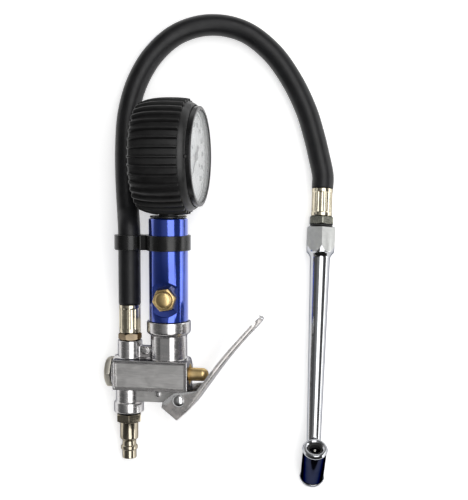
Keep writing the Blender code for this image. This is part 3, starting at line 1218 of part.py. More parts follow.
    # sector gear, turning about its own pivot
    arbor_low = BACK_PLATE + SLIDING_GAP
    arbor_high = front_top - SLIDING_GAP
    sector_frame = empty("sector_frame", gauge, (*pivot, 0))
    tooth_step = 360.0 / sector_teeth
    reach = int(SECTOR_SWEEP / tooth_step) + 2
    toothed = tooth_ring(sector_teeth, -reach, reach + 3, 0.0)
    root = MODULE * (sector_teeth / 2 - 1.25)
    rim_inner = root * 0.86
    first_angle = -reach * tooth_step - tooth_step * 0.3
    last_angle = 2 * tooth_step + tooth_step * 0.3
    outline = toothed + arc((0, 0), rim_inner, last_angle, last_angle * 0.4, 2)
    outline += arc((0, 0), TAIL_LENGTH * 0.28, 60.0, 40.0, 1)
    outline += arc((0, 0), TAIL_LENGTH * 0.28, -60.0, -80.0, 1)
    outline += arc((0, 0), rim_inner, first_angle * 0.8, first_angle, 2)
    sector = place(prism("sector_gear", rotated(outline, facing), SECTOR_LEVEL,
                         SECTOR_LEVEL + GEAR_THICKNESS, finishes["brass"]), sector_frame)
    tail_arm = prism("sector_tail", hull_of_circles([(Vector((0, 0)), TAIL_LENGTH * 0.28),
                                                     (tail, LINK_EYE / 2)]),
                     SECTOR_LEVEL, SECTOR_LEVEL + GEAR_THICKNESS)
    add(sector, place(tail_arm, sector_frame))
    add(sector, place(turned("sector_arbor", rod(ARBOR_DIAMETER, arbor_low, arbor_high), TINY),
                      sector_frame))
    add(sector, place(turned("tail_pin", rod(LINK_PIN, LINK_LEVEL - SEAT_GAP, SECTOR_LEVEL
                                             + GEAR_THICKNESS / 2), TINY), sector_frame, (*tail, 0)))

    # link from the tail to the bourdon tube's tip
    link_frame = empty("link_frame", sector_frame, (*tail, 0))
    far = tip - tail_spot
    link = place(prism("link", hull_of_circles([(Vector((0, 0)), LINK_EYE / 2), (far, LINK_EYE / 2)]),
                       LINK_LEVEL, LINK_LEVEL + LINK_THICKNESS, finishes["steel"]), link_frame)
    eye = LINK_PIN + SLIDING_GAP * 2
    for label, spot in (("near", Vector((0, 0))), ("far", far)):
        cut(link, place(turned("link_%s_eye" % label, rod(eye, 0, LINK_LEVEL * 2), TINY), link_frame,
                        (*spot, 0)))

    # pinion on its arbor, with a gap facing the sector's tooth
    pointer_low = DIAL_FACE + POINTER_GAP
    arbor_tip = pointer_low + POINTER_THICKNESS + SLIDING_GAP
    gap_shift = 0.5
    pinion_outline = rotated(tooth_ring(PINION_TEETH, 0, PINION_TEETH, gap_shift), PIVOT_ANGLE)
    pinion = place(prism("pinion_arbor", pinion_outline, SECTOR_LEVEL - SEAT_GAP,
                         SECTOR_LEVEL + GEAR_THICKNESS + SEAT_GAP, finishes["brass"]), gauge)
    add(pinion, place(turned("arbor", rod(ARBOR_DIAMETER, arbor_low, arbor_tip), TINY), gauge))

    # hairspring: a flat spiral round the arbor
    steps = 14
    count = HAIRSPRING_TURNS * steps
    spiral = []
    for i in range(count + 1):
        angle = 360.0 * i / steps
        reach = HAIRSPRING_INNER + (HAIRSPRING_OUTER - HAIRSPRING_INNER) * i / count
        spiral.append((*around(angle, reach), HAIRSPRING_LEVEL))
    place(path_tube("hairspring", spiral, HAIRSPRING_WIRE, 0, finishes["spring"]), gauge)

    # pointer, its blade at the start of the scale
    blade = 0.0012
    pointer = place(turned("pointer", ring_profile(hole, POINTER_HUB, pointer_low,
                                                   pointer_low + POINTER_THICKNESS), SMALL,
                           finishes["black_paint"]), gauge)
    start = POINTER_START
    inner = POINTER_HUB / 2 * 0.8
    blade_outline = rotated([(inner, -blade), (POINTER_LENGTH, -blade * 0.25),
                             (POINTER_LENGTH, blade * 0.25), (inner, blade)], start)
    tail_outline = rotated([(-inner, blade), (-POINTER_TAIL, blade * 1.6),
                            (-POINTER_TAIL, -blade * 1.6), (-inner, -blade)], start)
    for label, shape_outline in (("blade", blade_outline), ("counterweight", tail_outline)):
        add(pointer, place(prism("pointer_" + label, shape_outline, pointer_low,
                                 pointer_low + POINTER_THICKNESS), gauge))


# ================================================================ hose ends
def build_hose_end(prefix, frame, start, along, location, flats, hex_length, thread_length, finishes):
    """Hexagon fitting with a thread and a barb, and the ferrule crimped over the barb.
    Heights grow towards the hose from the face that the hexagon sits on."""
    hex_end = start + hex_length
    ferrule_low = hex_end + SEAT_GAP
    ferrule_end = ferrule_low + FERRULE_LENGTH
    fitting = place(prism(prefix + "_hose_fitting", hexagon(flats, 90.0), start, hex_end,
                          finishes["nickel"]), frame, location, along)
    stem = turned(prefix + "_barb", [
        (0, start - thread_length), (FITTING_THREAD / 2, start - thread_length),
        (FITTING_THREAD / 2, start + hex_length / 3), (BARB_DIAMETER / 2, start + hex_length / 3),
        (BARB_DIAMETER / 2, ferrule_end - SEAT_GAP), (0, ferrule_end - SEAT_GAP)], SMALL)
    add(fitting, place(stem, frame, location, along))
    bore = turned(prefix + "_fitting_bore", rod(FITTING_BORE, start - thread_length * 2,
                                                ferrule_end * 2), TINY)
    cut(fitting, place(bore, frame, location, along))

    hole = BARB_DIAMETER / 2 + SEAT_GAP
    outer = FERRULE_DIAMETER / 2
    steps = FERRULE_FLUTES * 4
    shape = bmesh.new()
    rings = []
    edge = 0.0010
    for height, outside, fluted in ((ferrule_low, False, 0), (ferrule_low, True, 0),
                                    (ferrule_low + edge, True, 0), (ferrule_low + edge * 2, True, 1),
                                    (ferrule_end - edge * 2, True, 1), (ferrule_end - edge, True, 0),
                                    (ferrule_end, True, 0), (ferrule_end, False, 0)):
        ring = []
        for i in range(steps):
            angle = 2 * math.pi * i / steps
            press = FERRULE_FLUTE_DEPTH * fluted * (0.5 - 0.5 * math.cos(FERRULE_FLUTES * angle))
            reach = outer - press if outside else hole
            ring.append(shape.verts.new((reach * math.cos(angle), reach * math.sin(angle), height)))
        rings.append(ring)
    skin(shape, rings, closed=True)
    place(from_bmesh(prefix + "_ferrule", shape, finishes["ferrule"]), frame, location, along)
    return ferrule_end + SEAT_GAP


def smooth_route(run_up, points, spacing):
    """Even points along a smooth curve through the route's points, in line with a run-up point
    that comes before them."""
    fine = []
    for i in range(len(points) - 1):
        before = points[i - 1] if i else run_up
        after = points[min(i + 2, len(points) - 1)]
        start, end = points[i], points[i + 1]
        reach = (end - start).length
        leave = (end - before).normalized() * reach / 3
        arrive = (after - start).normalized() * reach / 3
        fine += interpolate_bezier(start, start + leave, end - arrive, end, 17)[:-1]
    fine.append(points[-1])
    lengths = [0.0]
    for a, b in zip(fine, fine[1:]):
        lengths.append(lengths[-1] + (b - a).length)
    count = max(2, round(lengths[-1] / spacing))
    route = []
    k = 0
    for i in range(count + 1):
        want = lengths[-1] * i / count
        while k < len(fine) - 2 and lengths[k + 1] < want:
            k += 1
        share = (want - lengths[k]) / (lengths[k + 1] - lengths[k])
        route.append(fine[k].lerp(fine[k + 1], share))
    return route


def build_hose(inflator, chuck, body_exit, chuck_exit, finishes):
    """The free hose, from the body's ferrule through the clip to the chuck's ferrule."""
    bpy.context.view_layer.update()
    straight = [inflator.matrix_world @ Vector((-HOSE_OFFSET, height, 0))
                for height in (body_exit, (body_exit + HOSE_BEND_START) / 2, HOSE_BEND_START)]
    route = straight[-1:] + [Vector(point) for point in HOSE_ROUTE]
    route.append(chuck.matrix_world @ Vector((0, 0, -chuck_exit - HOSE_DIAMETER * 0.6)))
    bend = smooth_route(straight[1], route, HOSE_DIAMETER * 1.5)
    last = chuck.matrix_world @ Vector((0, 0, -chuck_exit))
    path_tube("hose", straight[:-1] + bend + [last], HOSE_DIAMETER, 3, finishes["hose"])


# ================================================================ chuck
def build_chuck_handle(chuck, finishes):
    """Hexagon turned down by a cone into a tapered pipe."""
    corner = CHUCK_FLATS / math.sqrt(3)
    half_flats = CHUCK_FLATS / 2
    slope = (corner - half_flats) / (CHUCK_FLAT_END - CHUCK_CORNER_END)
    pipe_end = CHUCK_REACH - PIPE_SPIGOT_END
    spigot_start = pipe_end - 0.0060
    heights = [0.0, CHUCK_CORNER_END]
    heights += [CHUCK_CORNER_END + (CHUCK_FLAT_END - CHUCK_CORNER_END) * i / 4 for i in range(1, 5)]
    heights += [CHUCK_CONE_END - 0.0012, CHUCK_CONE_END, spigot_start]
    shape = bmesh.new()
    rings = []
    for height in heights:
        ring = []
        for i in range(FINE):
            angle = 2 * math.pi * i / FINE
            off_corner = math.degrees(angle) % 60.0 - 30.0
            hex_reach = half_flats / math.cos(math.radians(30.0 - abs(off_corner)))
            cone = corner - slope * max(0.0, height - CHUCK_CORNER_END)
            reach = min(hex_reach, cone)
            if height > CHUCK_FLAT_END:
                share = (height - CHUCK_FLAT_END) / (CHUCK_CONE_END - CHUCK_FLAT_END)
                reach = half_flats + (PIPE_START_DIAMETER / 2 - half_flats) * min(1.0, share)
            if height > CHUCK_CONE_END:
                reach = PIPE_END_DIAMETER / 2
            ring.append(shape.verts.new((reach * math.cos(angle), reach * math.sin(angle), height)))
        rings.append(ring)
    for height in (spigot_start, pipe_end):
        reach = PIPE_SPIGOT / 2
        rings.append([shape.verts.new((reach * math.cos(2 * math.pi * i / FINE),
                                       reach * math.sin(2 * math.pi * i / FINE), height))
                      for i in range(FINE)])
    skin(shape, rings, closed=False)
    shape.faces.new(rings[0])
    shape.faces.new(rings[-1])
    handle = place(from_bmesh("chuck_handle", shape, finishes["chrome"]), chuck)
    cut(handle, place(turned("pipe_bore", rod(PIPE_BORE, -HEAD_LENGTH, CHUCK_REACH), TINY), chuck))
    cut(handle, place(turned("pipe_thread", rod(CHUCK_THREAD_BORE, -HEAD_LENGTH, CHUCK_THREAD_DEPTH),
                             SMALL), chuck))


def build_head(chuck, finishes):
    """Twin-ended head. Its frame has Z towards the upper mouth, and its middle lies a little
    up that axis from where the pipe's axis crosses it."""
    joint = empty("head_joint", chuck, (0, 0, CHUCK_REACH),
                  (math.radians(HEAD_ANGLE) - math.pi, 0, 0))
    head_frame = empty("head_frame", joint, (0, 0, HEAD_JOINT))
    half = HEAD_LENGTH / 2
    shoulder = half - RING_LENGTH - SEAT_GAP
    spigot_end = half - RING_FRONT - SEAT_GAP
    pocket = CHUCK_SEAL_DIAMETER / 2 + SEAT_GAP
    seal_floor = spigot_end - CHUCK_SEAL_HEIGHT - SEAT_GAP
    lower_pocket_floor = CHAMBER_HALF
    head = place(turned("chuck_head", [
        (CHUCK_SEAT_HOLE / 2, CHAMBER_HALF), (HEAD_CHAMBER / 2, CHAMBER_HALF),
        (HEAD_CHAMBER / 2, -lower_pocket_floor), (pocket, -lower_pocket_floor),
        (pocket, -spigot_end), (HEAD_SPIGOT / 2, -spigot_end), (HEAD_SPIGOT / 2, -shoulder),
        (HEAD_DIAMETER / 2, -shoulder), (HEAD_DIAMETER / 2, shoulder), (HEAD_SPIGOT / 2, shoulder),
        (HEAD_SPIGOT / 2, spigot_end), (pocket, spigot_end), (pocket, seal_floor),
        (CHUCK_SEAT_HOLE / 2, seal_floor)], ROUND, finishes["chrome"]), head_frame)
    # the joint's own Z is turned back to the pipe's direction for the socket and the passage
    pipe_side = empty("pipe_side", joint, (0, 0, 0), (math.radians(-HEAD_ANGLE), 0, 0))
    socket = turned("head_socket", rod(PIPE_SPIGOT + SEAT_GAP * 2, PIPE_SPIGOT_END - SEAT_GAP,
                                       HEAD_LENGTH * 2), ROUND)
    cut(head, place(socket, pipe_side))
    passage = turned("head_passage", rod(PIPE_BORE * 0.8, 0, HEAD_LENGTH), TINY)
    cut(head, place(passage, pipe_side))

    for side, name in ((1, "upper"), (-1, "lower")):
        mouth = RING_MOUTH / 2
        along = "Z" if side > 0 else "-Z"
        bore = HEAD_SPIGOT / 2 + SEAT_GAP
        place(turned("chuck_ring_" + name, [
            (bore, half - RING_LENGTH), (RING_DIAMETER / 2, half - RING_LENGTH),
            (RING_DIAMETER / 2, half - RING_CHAMFER / 2), (RING_DIAMETER / 2 - RING_CHAMFER / 2, half),
            (mouth + RING_CHAMFER, half), (mouth, half - RING_CHAMFER),
            (mouth, half - RING_FRONT), (bore, half - RING_FRONT)], ROUND, finishes["chrome"]),
            head_frame, along=along)
        seal_low = seal_floor + SEAT_GAP
        place(turned("chuck_seal_" + name, [
            (CHUCK_SEAL_HOLE / 2, seal_low), (CHUCK_SEAL_DIAMETER / 2, seal_low),
            (CHUCK_SEAL_DIAMETER / 2, spigot_end), (CHUCK_SEAL_HOLE / 2 + 0.0005, spigot_end),
            (CHUCK_SEAL_HOLE / 2, spigot_end - 0.0006)], ROUND, finishes["seal"]),
            head_frame, along=along)
        disc_face = CHUCK_PIN_DISC_HEIGHT / 2
        place(spring("pin_spring_" + name, PIN_SPRING_DIAMETER, PIN_SPRING_WIRE,
                     disc_face + SEAT_GAP, CHAMBER_HALF - SEAT_GAP, PIN_SPRING_TURNS,
                     finishes["spring"]), head_frame, along=along)
    seat_low = CHAMBER_HALF + SEAT_GAP
    seat_high = seat_low + CHUCK_SEAT_WALL
    place(turned("chuck_seat", ring_profile(CHUCK_SEAT_HOLE, 2 * (pocket - SEAT_GAP), seat_low,
                                            seat_high), ROUND, finishes["brass"]),
          head_frame, along="-Z")
    disc = CHUCK_PIN_DISC_HEIGHT / 2
    tip = CHUCK_PIN_DIAMETER * 0.3
    place(turned("chuck_pin", [
        (0, -CHUCK_PIN_REACH), (tip, -CHUCK_PIN_REACH),
        (CHUCK_PIN_DIAMETER / 2, -CHUCK_PIN_REACH + tip), (CHUCK_PIN_DIAMETER / 2, -disc),
        (CHUCK_PIN_DISC / 2, -disc), (CHUCK_PIN_DISC / 2, disc), (CHUCK_PIN_DIAMETER / 2, disc),
        (CHUCK_PIN_DIAMETER / 2, CHUCK_PIN_REACH - tip), (tip, CHUCK_PIN_REACH),
        (0, CHUCK_PIN_REACH)], SMALL, finishes["steel"]), head_frame)


def build_chuck(chuck, finishes):
    build_chuck_handle(chuck, finishes)
    build_head(chuck, finishes)
    washer_low = SEAT_GAP
    place(turned("chuck_washer", ring_profile(CHUCK_THREAD_BORE, CHUCK_WASHER_DIAMETER, washer_low,
                                              washer_low + CHUCK_WASHER_HEIGHT), ROUND,
                 finishes["seal"]), chuck, along="-Z")
    start = washer_low + CHUCK_WASHER_HEIGHT + SEAT_GAP
    return build_hose_end("chuck", chuck, start, "-Z", (0, 0, 0), CHUCK_FITTING_FLATS,
                          CHUCK_FITTING_HEX, CHUCK_THREAD_DEPTH, finishes)


# ================================================================ whole object
def build():
    clear_scene()
    tilt, height = resting_pose()
    inflator = empty("inflator_frame", None, (*INFLATOR_PLACE, height))
    turn = Matrix.Rotation(tilt, 3, "X") @ Matrix.Rotation(math.radians(-ROLL), 3, "Y")
    inflator.rotation_euler = turn.to_euler()
    build_valve_body(inflator, FINISHES["cast"])
    build_inlet_valve(inflator, FINISHES)
    build_lever(inflator, FINISHES)
    build_inlet_nipple(inflator, FINISHES)
    build_handle(inflator, FINISHES)
    build_release_valve(inflator, FINISHES)
    build_clip(inflator, FINISHES)
    stem_low = build_adaptor(inflator, FINISHES)
    build_gauge(inflator, FINISHES, stem_low)
    body_exit = build_hose_end("body", inflator, HOSE_BOSS_TOP + SEAT_GAP, "Y",
                               (-HOSE_OFFSET, 0, 0), BODY_FITTING_FLATS, BODY_FITTING_HEX,
                               HOSE_THREAD_DEPTH - SEAT_GAP * 2, FINISHES)

    rise, axis_height = chuck_rise()
    chuck = empty("chuck_frame", None, (*CHUCK_PLACE, axis_height))
    turn = (Matrix.Rotation(math.radians(CHUCK_YAW), 3, "Z") @ Matrix.Rotation(-rise, 3, "X")
            @ Matrix.Rotation(math.pi / 2, 3, "X"))
    chuck.rotation_euler = turn.to_euler()
    chuck_exit = build_chuck(chuck, FINISHES)
    build_hose(inflator, chuck, body_exit, chuck_exit, FINISHES)


build()
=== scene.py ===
"""Tyre inflator with a dial gauge, trigger lever, hose and twin-ended chuck.

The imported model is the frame, and each visible piece is a surface worked out here round it. The
valve body, the gauge, the lever, the chuck and its head have frames of their own, which are read
from the model's joints. Lengths are in metres; MM turns the millimetres of a profile into them.
"""

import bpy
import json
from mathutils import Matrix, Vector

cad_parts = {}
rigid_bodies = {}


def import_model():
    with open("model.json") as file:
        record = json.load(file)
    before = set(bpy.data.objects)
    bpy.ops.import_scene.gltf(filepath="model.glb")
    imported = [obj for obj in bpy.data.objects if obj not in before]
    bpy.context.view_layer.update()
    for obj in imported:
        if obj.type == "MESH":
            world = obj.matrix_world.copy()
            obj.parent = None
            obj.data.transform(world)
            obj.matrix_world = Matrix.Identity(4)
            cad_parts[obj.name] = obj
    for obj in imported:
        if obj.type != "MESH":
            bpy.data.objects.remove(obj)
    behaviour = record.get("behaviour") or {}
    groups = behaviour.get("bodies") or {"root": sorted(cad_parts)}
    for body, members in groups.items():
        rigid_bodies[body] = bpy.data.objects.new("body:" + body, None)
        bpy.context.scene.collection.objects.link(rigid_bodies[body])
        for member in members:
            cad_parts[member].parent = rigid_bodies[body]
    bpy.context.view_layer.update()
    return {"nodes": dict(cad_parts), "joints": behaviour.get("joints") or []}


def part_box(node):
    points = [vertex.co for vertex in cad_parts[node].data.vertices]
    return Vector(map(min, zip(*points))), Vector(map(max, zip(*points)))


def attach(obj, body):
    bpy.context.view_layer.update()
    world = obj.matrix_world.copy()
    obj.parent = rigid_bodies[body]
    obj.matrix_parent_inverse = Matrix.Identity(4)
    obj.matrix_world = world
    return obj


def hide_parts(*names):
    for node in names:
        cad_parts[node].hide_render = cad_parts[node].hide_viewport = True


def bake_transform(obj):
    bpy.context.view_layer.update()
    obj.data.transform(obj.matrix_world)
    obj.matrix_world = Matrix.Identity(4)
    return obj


bl_info = {
    "name": "Tyre inflator with gauge",
    "version": (1, 0, 0),
    "blender": (4, 5, 0),
    "location": "3D View > Sidebar > Inflator",
    "description": "Dresses the pieces of a tyre inflator and sets its stage",
    "category": "Mesh",
}

import bpy

for leftover in list(bpy.data.objects):
    bpy.data.objects.remove(leftover, do_unlink=True)
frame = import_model()

import json
import math

import bmesh
import numpy as np
from bpy.props import FloatProperty, FloatVectorProperty, IntProperty, PointerProperty
from mathutils import Euler, Matrix, Vector

MM = 0.001
SIDES = 128
GAP = 0.3
CREASE = 32.0
# dark specular tint for every metal: painted shade that darkens reflections towards grazing edges
# into dark outlines
PAINTED_EDGE_SHADE = (0.12, 0.13, 0.17, 1.0)

# ------------------------------------------------------------------ places, in millimetres
HOSE_X = -27.5
INLET_X = -28.7
PLATE_X, PLATE_TOP = -10.7, 13.0
PIVOT = (10.1, -15.5)
BARREL_END = 38.0
BOSS, HOSE_BOSS = 12.5, 8.4
INLET_END = 27.4
HANDLE_FOOT, HANDLE_TOP = 36.7, 106.6
RELEASE_HEIGHT, CLIP_HEIGHT = 52.2, 89.8
SPOT_FACE = 3.1
DIAL_TOP, DIAL_START, DIAL_SWEEP = 18.9, 135.0, 270.0

# ------------------------------------------------------------------ frames of the pieces
JOINTS = {joint["name"]: joint for joint in frame["joints"]}


def unit(vector):
    """The vector at length one."""
    return np.asarray(vector, float) / np.linalg.norm(vector)


def unit_rows(rows):
    """Each row of an array at length one."""
    return rows / np.linalg.norm(rows, axis=1)[:, None]


def middle(node):
    """Middle of a node's box."""
    low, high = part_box(node)
    return (np.array(low) + np.array(high)) / 2


def frame_of(origin, x, y, z):
    """Four by four matrix of a frame with that origin and those axes."""
    matrix = np.eye(4)
    matrix[:3, 0], matrix[:3, 1], matrix[:3, 2], matrix[:3, 3] = x, y, z, origin
    return matrix


GAUGE_HEIGHT = 147.8 * MM
HEAD_JOINT = 5.0 * MM
BODY_X = -unit(JOINTS["plunger_slide"]["axis"])
BODY_Z = unit(JOINTS["lever_hinge"]["axis"])
BODY_Y = unit(np.cross(BODY_Z, BODY_X))
GAUGE_CENTRE = np.array(JOINTS["pointer_hinge"]["pos_m"])
BODY = frame_of(GAUGE_CENTRE - BODY_Y * GAUGE_HEIGHT, BODY_X, BODY_Y, BODY_Z)
GAUGE = frame_of(GAUGE_CENTRE, BODY_Y, BODY_Z, BODY_X)
LEVER = frame_of(JOINTS["lever_hinge"]["pos_m"], BODY_X, BODY_Y, BODY_Z)
HEAD_Z = unit(JOINTS["chuck_pin_slide"]["axis"])
HEAD_MIDDLE = middle("chuck_pin")
CHUCK_Z = unit(HEAD_MIDDLE - HEAD_Z * HEAD_JOINT - middle("chuck_washer"))
CHUCK_X = unit(np.cross((0.0, 0.0, 1.0), CHUCK_Z))
CHUCK = frame_of(middle("chuck_washer") + CHUCK_Z * 0.8 * MM, CHUCK_X,
                 np.cross(CHUCK_Z, CHUCK_X), CHUCK_Z)
HEAD = frame_of(HEAD_MIDDLE, CHUCK_X, np.cross(HEAD_Z, CHUCK_X), HEAD_Z)

TURNS = {
    "Z": ((1, 0, 0), (0, 1, 0), (0, 0, 1)), "-Z": ((1, 0, 0), (0, -1, 0), (0, 0, -1)),
    "X": ((0, 0, 1), (0, 1, 0), (-1, 0, 0)), "-X": ((0, 0, -1), (0, 1, 0), (1, 0, 0)),
    "Y": ((1, 0, 0), (0, 0, 1), (0, -1, 0)), "-Y": ((1, 0, 0), (0, 0, -1), (0, 1, 0)),
}


def along(axis, spot=(0, 0, 0), turn=0.0):
    """Matrix that lays a piece's own Z along an axis, at a spot in millimetres, after it is
    turned about its own Z by so many degrees."""
    matrix = np.eye(4)
    c, s = math.cos(math.radians(turn)), math.sin(math.radians(turn))
    matrix[:3, :3] = np.array(TURNS[axis], float) @ np.array(((c, -s, 0), (s, c, 0), (0, 0, 1)))
    matrix[:3, 3] = np.array(spot) * MM
    return matrix


# ------------------------------------------------------------------ sizes and colours
def size(name, default, about):
    """Length in millimetres as a property in metres."""
    return FloatProperty(name=name, description=about, default=default * MM, min=0.0001,
                         precision=5, unit="LENGTH")


def tint(name, default, about):
    """Colour property."""
    return FloatVectorProperty(name=name, description=about, default=default, min=0.0, max=1.0,
                               size=3, subtype="COLOR")


class BodySizes(bpy.types.PropertyGroup):
    """The valve body and what is screwed into it"""
    barrel: size("Barrel", 24.0, "Diameter of the valve barrel")
    collar: size("Collar", 30.0, "Diameter of the collar round the foot of the handle")
    plate_width: size("Plate width", 52.0, "Width of the block with the name-plate recess")
    plate_height: size("Plate height", 20.6, "Height of that block")
    plug_flats: size("Plug flats", 19.0, "Distance across the end plug's flats")
    nipple_flats: size("Nipple flats", 16.2, "Distance across the inlet nipple's flats")
    plunger: size("Plunger", 9.0, "Diameter of the plunger")
    metal: tint("Cast metal", (0.71, 0.71, 0.71), "Colour of the plated casting")


class LeverSizes(bpy.types.PropertyGroup):
    """The trigger lever and its rivet"""
    half_width: size("Half width", 15.2, "From the middle to the outside of a cheek")
    tip_half_width: size("Half width at the tip", 11.5, "From the middle to the side at the tip")
    sheet: size("Sheet", 1.8, "Thickness of the pressed sheet")
    bend: size("Bend", 2.2, "Outer radius of the bend along each side")
    metal: tint("Steel", (0.66, 0.65, 0.64), "Colour of the plated steel")


class HandleSizes(bpy.types.PropertyGroup):
    """The handle, its release valve and the hose clip"""
    diameter: size("Diameter", 27.0, "Diameter of the handle")
    release_flats: size("Release valve flats", 14.0, "Distance across the release valve's flats")
    clip_width: size("Clip width", 10.3, "Width of the hose clip along the handle")
    colour: tint("Anodised", (0.008, 0.060, 0.50), "Colour of the anodised handle")


class GaugeSizes(bpy.types.PropertyGroup):
    """The gauge and its boot"""
    bezel: size("Bezel", 67.2, "Diameter of the bezel")
    opening: size("Opening", 62.4, "Diameter of the window")
    ribs: IntProperty(name="Ribs", description="Ribs round the boot", default=38, min=8, max=80)
    rib_height: size("Rib height", 2.4, "Height of the boot's ribs")
    rubber: tint("Boot", (0.007, 0.007, 0.007), "Colour of the boot's rubber")
    dial: tint("Dial", (0.84, 0.85, 0.86), "Colour of the dial")


class HoseSizes(bpy.types.PropertyGroup):
    """The hose and its ends"""
    diameter: size("Diameter", 15.2, "Diameter of the hose")
    ferrule: size("Ferrule", 14.6, "Diameter of the crimped ferrules")
    crimp: size("Crimp", 0.45, "Depth of the crimped panels")
    rubber: tint("Hose", (0.009, 0.009, 0.010), "Colour of the hose's rubber")
    brass: tint("Pale brass", (0.78, 0.71, 0.55), "Colour of the ferrules")


class ChuckSizes(bpy.types.PropertyGroup):
    """The chuck's handle and head"""
    flats: size("Flats", 19.0, "Distance across the hexagon's flats")
    pipe: size("Pipe", 13.8, "Diameter of the pipe behind its cone")
    pipe_end: size("Pipe end", 9.6, "Diameter of the pipe at the head")
    head: size("Head", 16.2, "Diameter of the head")
    ring: size("Ring", 17.2, "Diameter of the head's end rings")
    chrome: tint("Chrome", (0.53, 0.54, 0.56), "Colour of the chrome plate")


class InflatorSizes(bpy.types.PropertyGroup):
    """Sizes and colours of the whole inflator"""
    body: PointerProperty(type=BodySizes, name="Valve body", description="Valve body sizes")
    lever: PointerProperty(type=LeverSizes, name="Lever", description="Lever sizes")
    handle: PointerProperty(type=HandleSizes, name="Handle", description="Handle sizes")
    gauge: PointerProperty(type=GaugeSizes, name="Gauge", description="Gauge sizes")
    hose: PointerProperty(type=HoseSizes, name="Hose", description="Hose sizes")
    chuck: PointerProperty(type=ChuckSizes, name="Chuck", description="Chuck sizes")


# ------------------------------------------------------------------ surfaces
def rounded(points, radius, closed=False, steps=6):
    """Profile with its corners eased: each corner p gives way to the curve
    (1-t)^2 (p + a c) + 2 t (1-t) p + t^2 (p + b c), where a and b point to its neighbours and c
    is how far the curve reaches, at most 0.45 of either side. Points are in millimetres."""
    p = np.asarray(points, float)
    reach = np.broadcast_to(np.asarray(radius, float), len(p)).copy()
    if not closed:
        reach[0] = reach[-1] = 0.0
    a = np.roll(p, 1, 0) - p
    b = np.roll(p, -1, 0) - p
    la = np.linalg.norm(a, axis=1)
    lb = np.linalg.norm(b, axis=1)
    reach = np.minimum(reach, 0.45 * np.minimum(la, lb))[:, None, None]
    a = (a / np.maximum(la, 1e-9)[:, None])[:, None, :]
    b = (b / np.maximum(lb, 1e-9)[:, None])[:, None, :]
    t = np.linspace(0.0, 1.0, steps)[None, :, None]
    corner = p[:, None, :]
    eased = ((1 - t) ** 2 * (corner + a * reach) + 2 * t * (1 - t) * corner
             + t ** 2 * (corner + b * reach)).reshape(-1, p.shape[1])
    apart = np.linalg.norm(eased - np.roll(eased, 1, 0), axis=1) > 1e-5
    apart[0] = True
    return eased[apart]


def grid_faces(rows, columns, wrap_rows, wrap_columns=True):
    """Quads (i, j), (i, j+1), (i+1, j+1), (i+1, j) of a grid, joined round where it wraps."""
    i, j = np.meshgrid(np.arange(rows if wrap_rows else rows - 1),
                       np.arange(columns if wrap_columns else columns - 1), indexing="ij")
    down, right = (i + 1) % rows, (j + 1) % columns
    return np.stack((i * columns + j, i * columns + right, down * columns + right,
                     down * columns + j), -1).reshape(-1, 4)


def all_round(profile, sides):
    """Radii and heights of a profile, alike on every side."""
    line = np.asarray(profile, float)
    return np.repeat(line[:, :1], sides, 1), np.repeat(line[:, 1:], sides, 1)


def carried(r, h, closed):
    """Grid of radii and heights, in millimetres, with its columns spread round the axis."""
    rows, sides = r.shape
    angle = 2 * np.pi * np.arange(sides) / sides
    points = np.stack((r * np.cos(angle), r * np.sin(angle), h), -1).reshape(-1, 3) * MM
    return points, grid_faces(rows, sides, closed)


def turned(profile, sides=SIDES, ease=0.0, steps=6):
    """Surface of revolution: a point (r, h) of the profile, in millimetres, goes to
    (r cos a, r sin a, h). A profile that starts on the axis is a solid, another is a ring."""
    ring = profile[0][0] != 0
    return carried(*all_round(rounded(profile, ease, ring, steps), sides), ring)


def rod(radius, low, high, sides=SIDES, ease=0.0):
    """Solid cylinder between two heights, all in millimetres."""
    return turned([(0, low), (radius, low), (radius, high), (0, high)], sides, ease)


def washer(inner, outer, low, high, sides=SIDES, ease=0.3):
    """Flat ring between two radii and two heights, all in millimetres."""
    return turned([(inner, low), (outer, low), (outer, high), (inner, high)], sides, ease)


def dome(radius, level, rise, end=88.0, steps=16, power=1.0):
    """Points (radius cos(a)^power, level + rise sin(a)) up a dome's side, from its rim."""
    return [(radius * math.cos(a) ** power, level + rise * math.sin(a))
            for a in np.radians(np.linspace(0, end, steps))]


def hex_radius(flats, sides):
    """Distance from a hexagon's middle to its side at each angle: half the distance across
    flats over cos(a), with a counted from the nearest flat's middle. A corner is at angle 0."""
    angle = np.degrees(2 * np.pi * np.arange(sides) / sides) % 60.0 - 30.0
    return flats / 2 / np.cos(np.radians(angle))


def hex_nut(flats, low, high, ease_low=True, face=0.97, sides=72):
    """Hexagon with turned ends: its side at each angle rises from a cone, which starts at a
    circle of radius face * flats / 2 on the end and climbs at 30 degrees."""
    side = hex_radius(flats, sides)
    circle = np.full(sides, face * flats / 2)
    climb = (side - circle) * math.tan(math.radians(30.0))
    axis, flat = np.zeros(sides), np.ones(sides)
    r = [axis, circle if ease_low else side, side, side, circle, axis]
    h = [flat * low, flat * low, low + climb * ease_low, high - climb, flat * high, flat * high]
    return carried(np.array(r), np.array(h), False)


def rectangle(half_x, half_y):
    """Corners of a rectangle round the middle."""
    return [(-half_x, -half_y), (half_x, -half_y), (half_x, half_y), (-half_x, half_y)]


def arc(centre, radius, start, end, steps):
    """Points (x + r cos a, y + r sin a) of an arc, in millimetres."""
    angle = np.radians(np.linspace(start, end, steps))
    return np.column_stack((centre[0] + radius * np.cos(angle),
                            centre[1] + radius * np.sin(angle)))


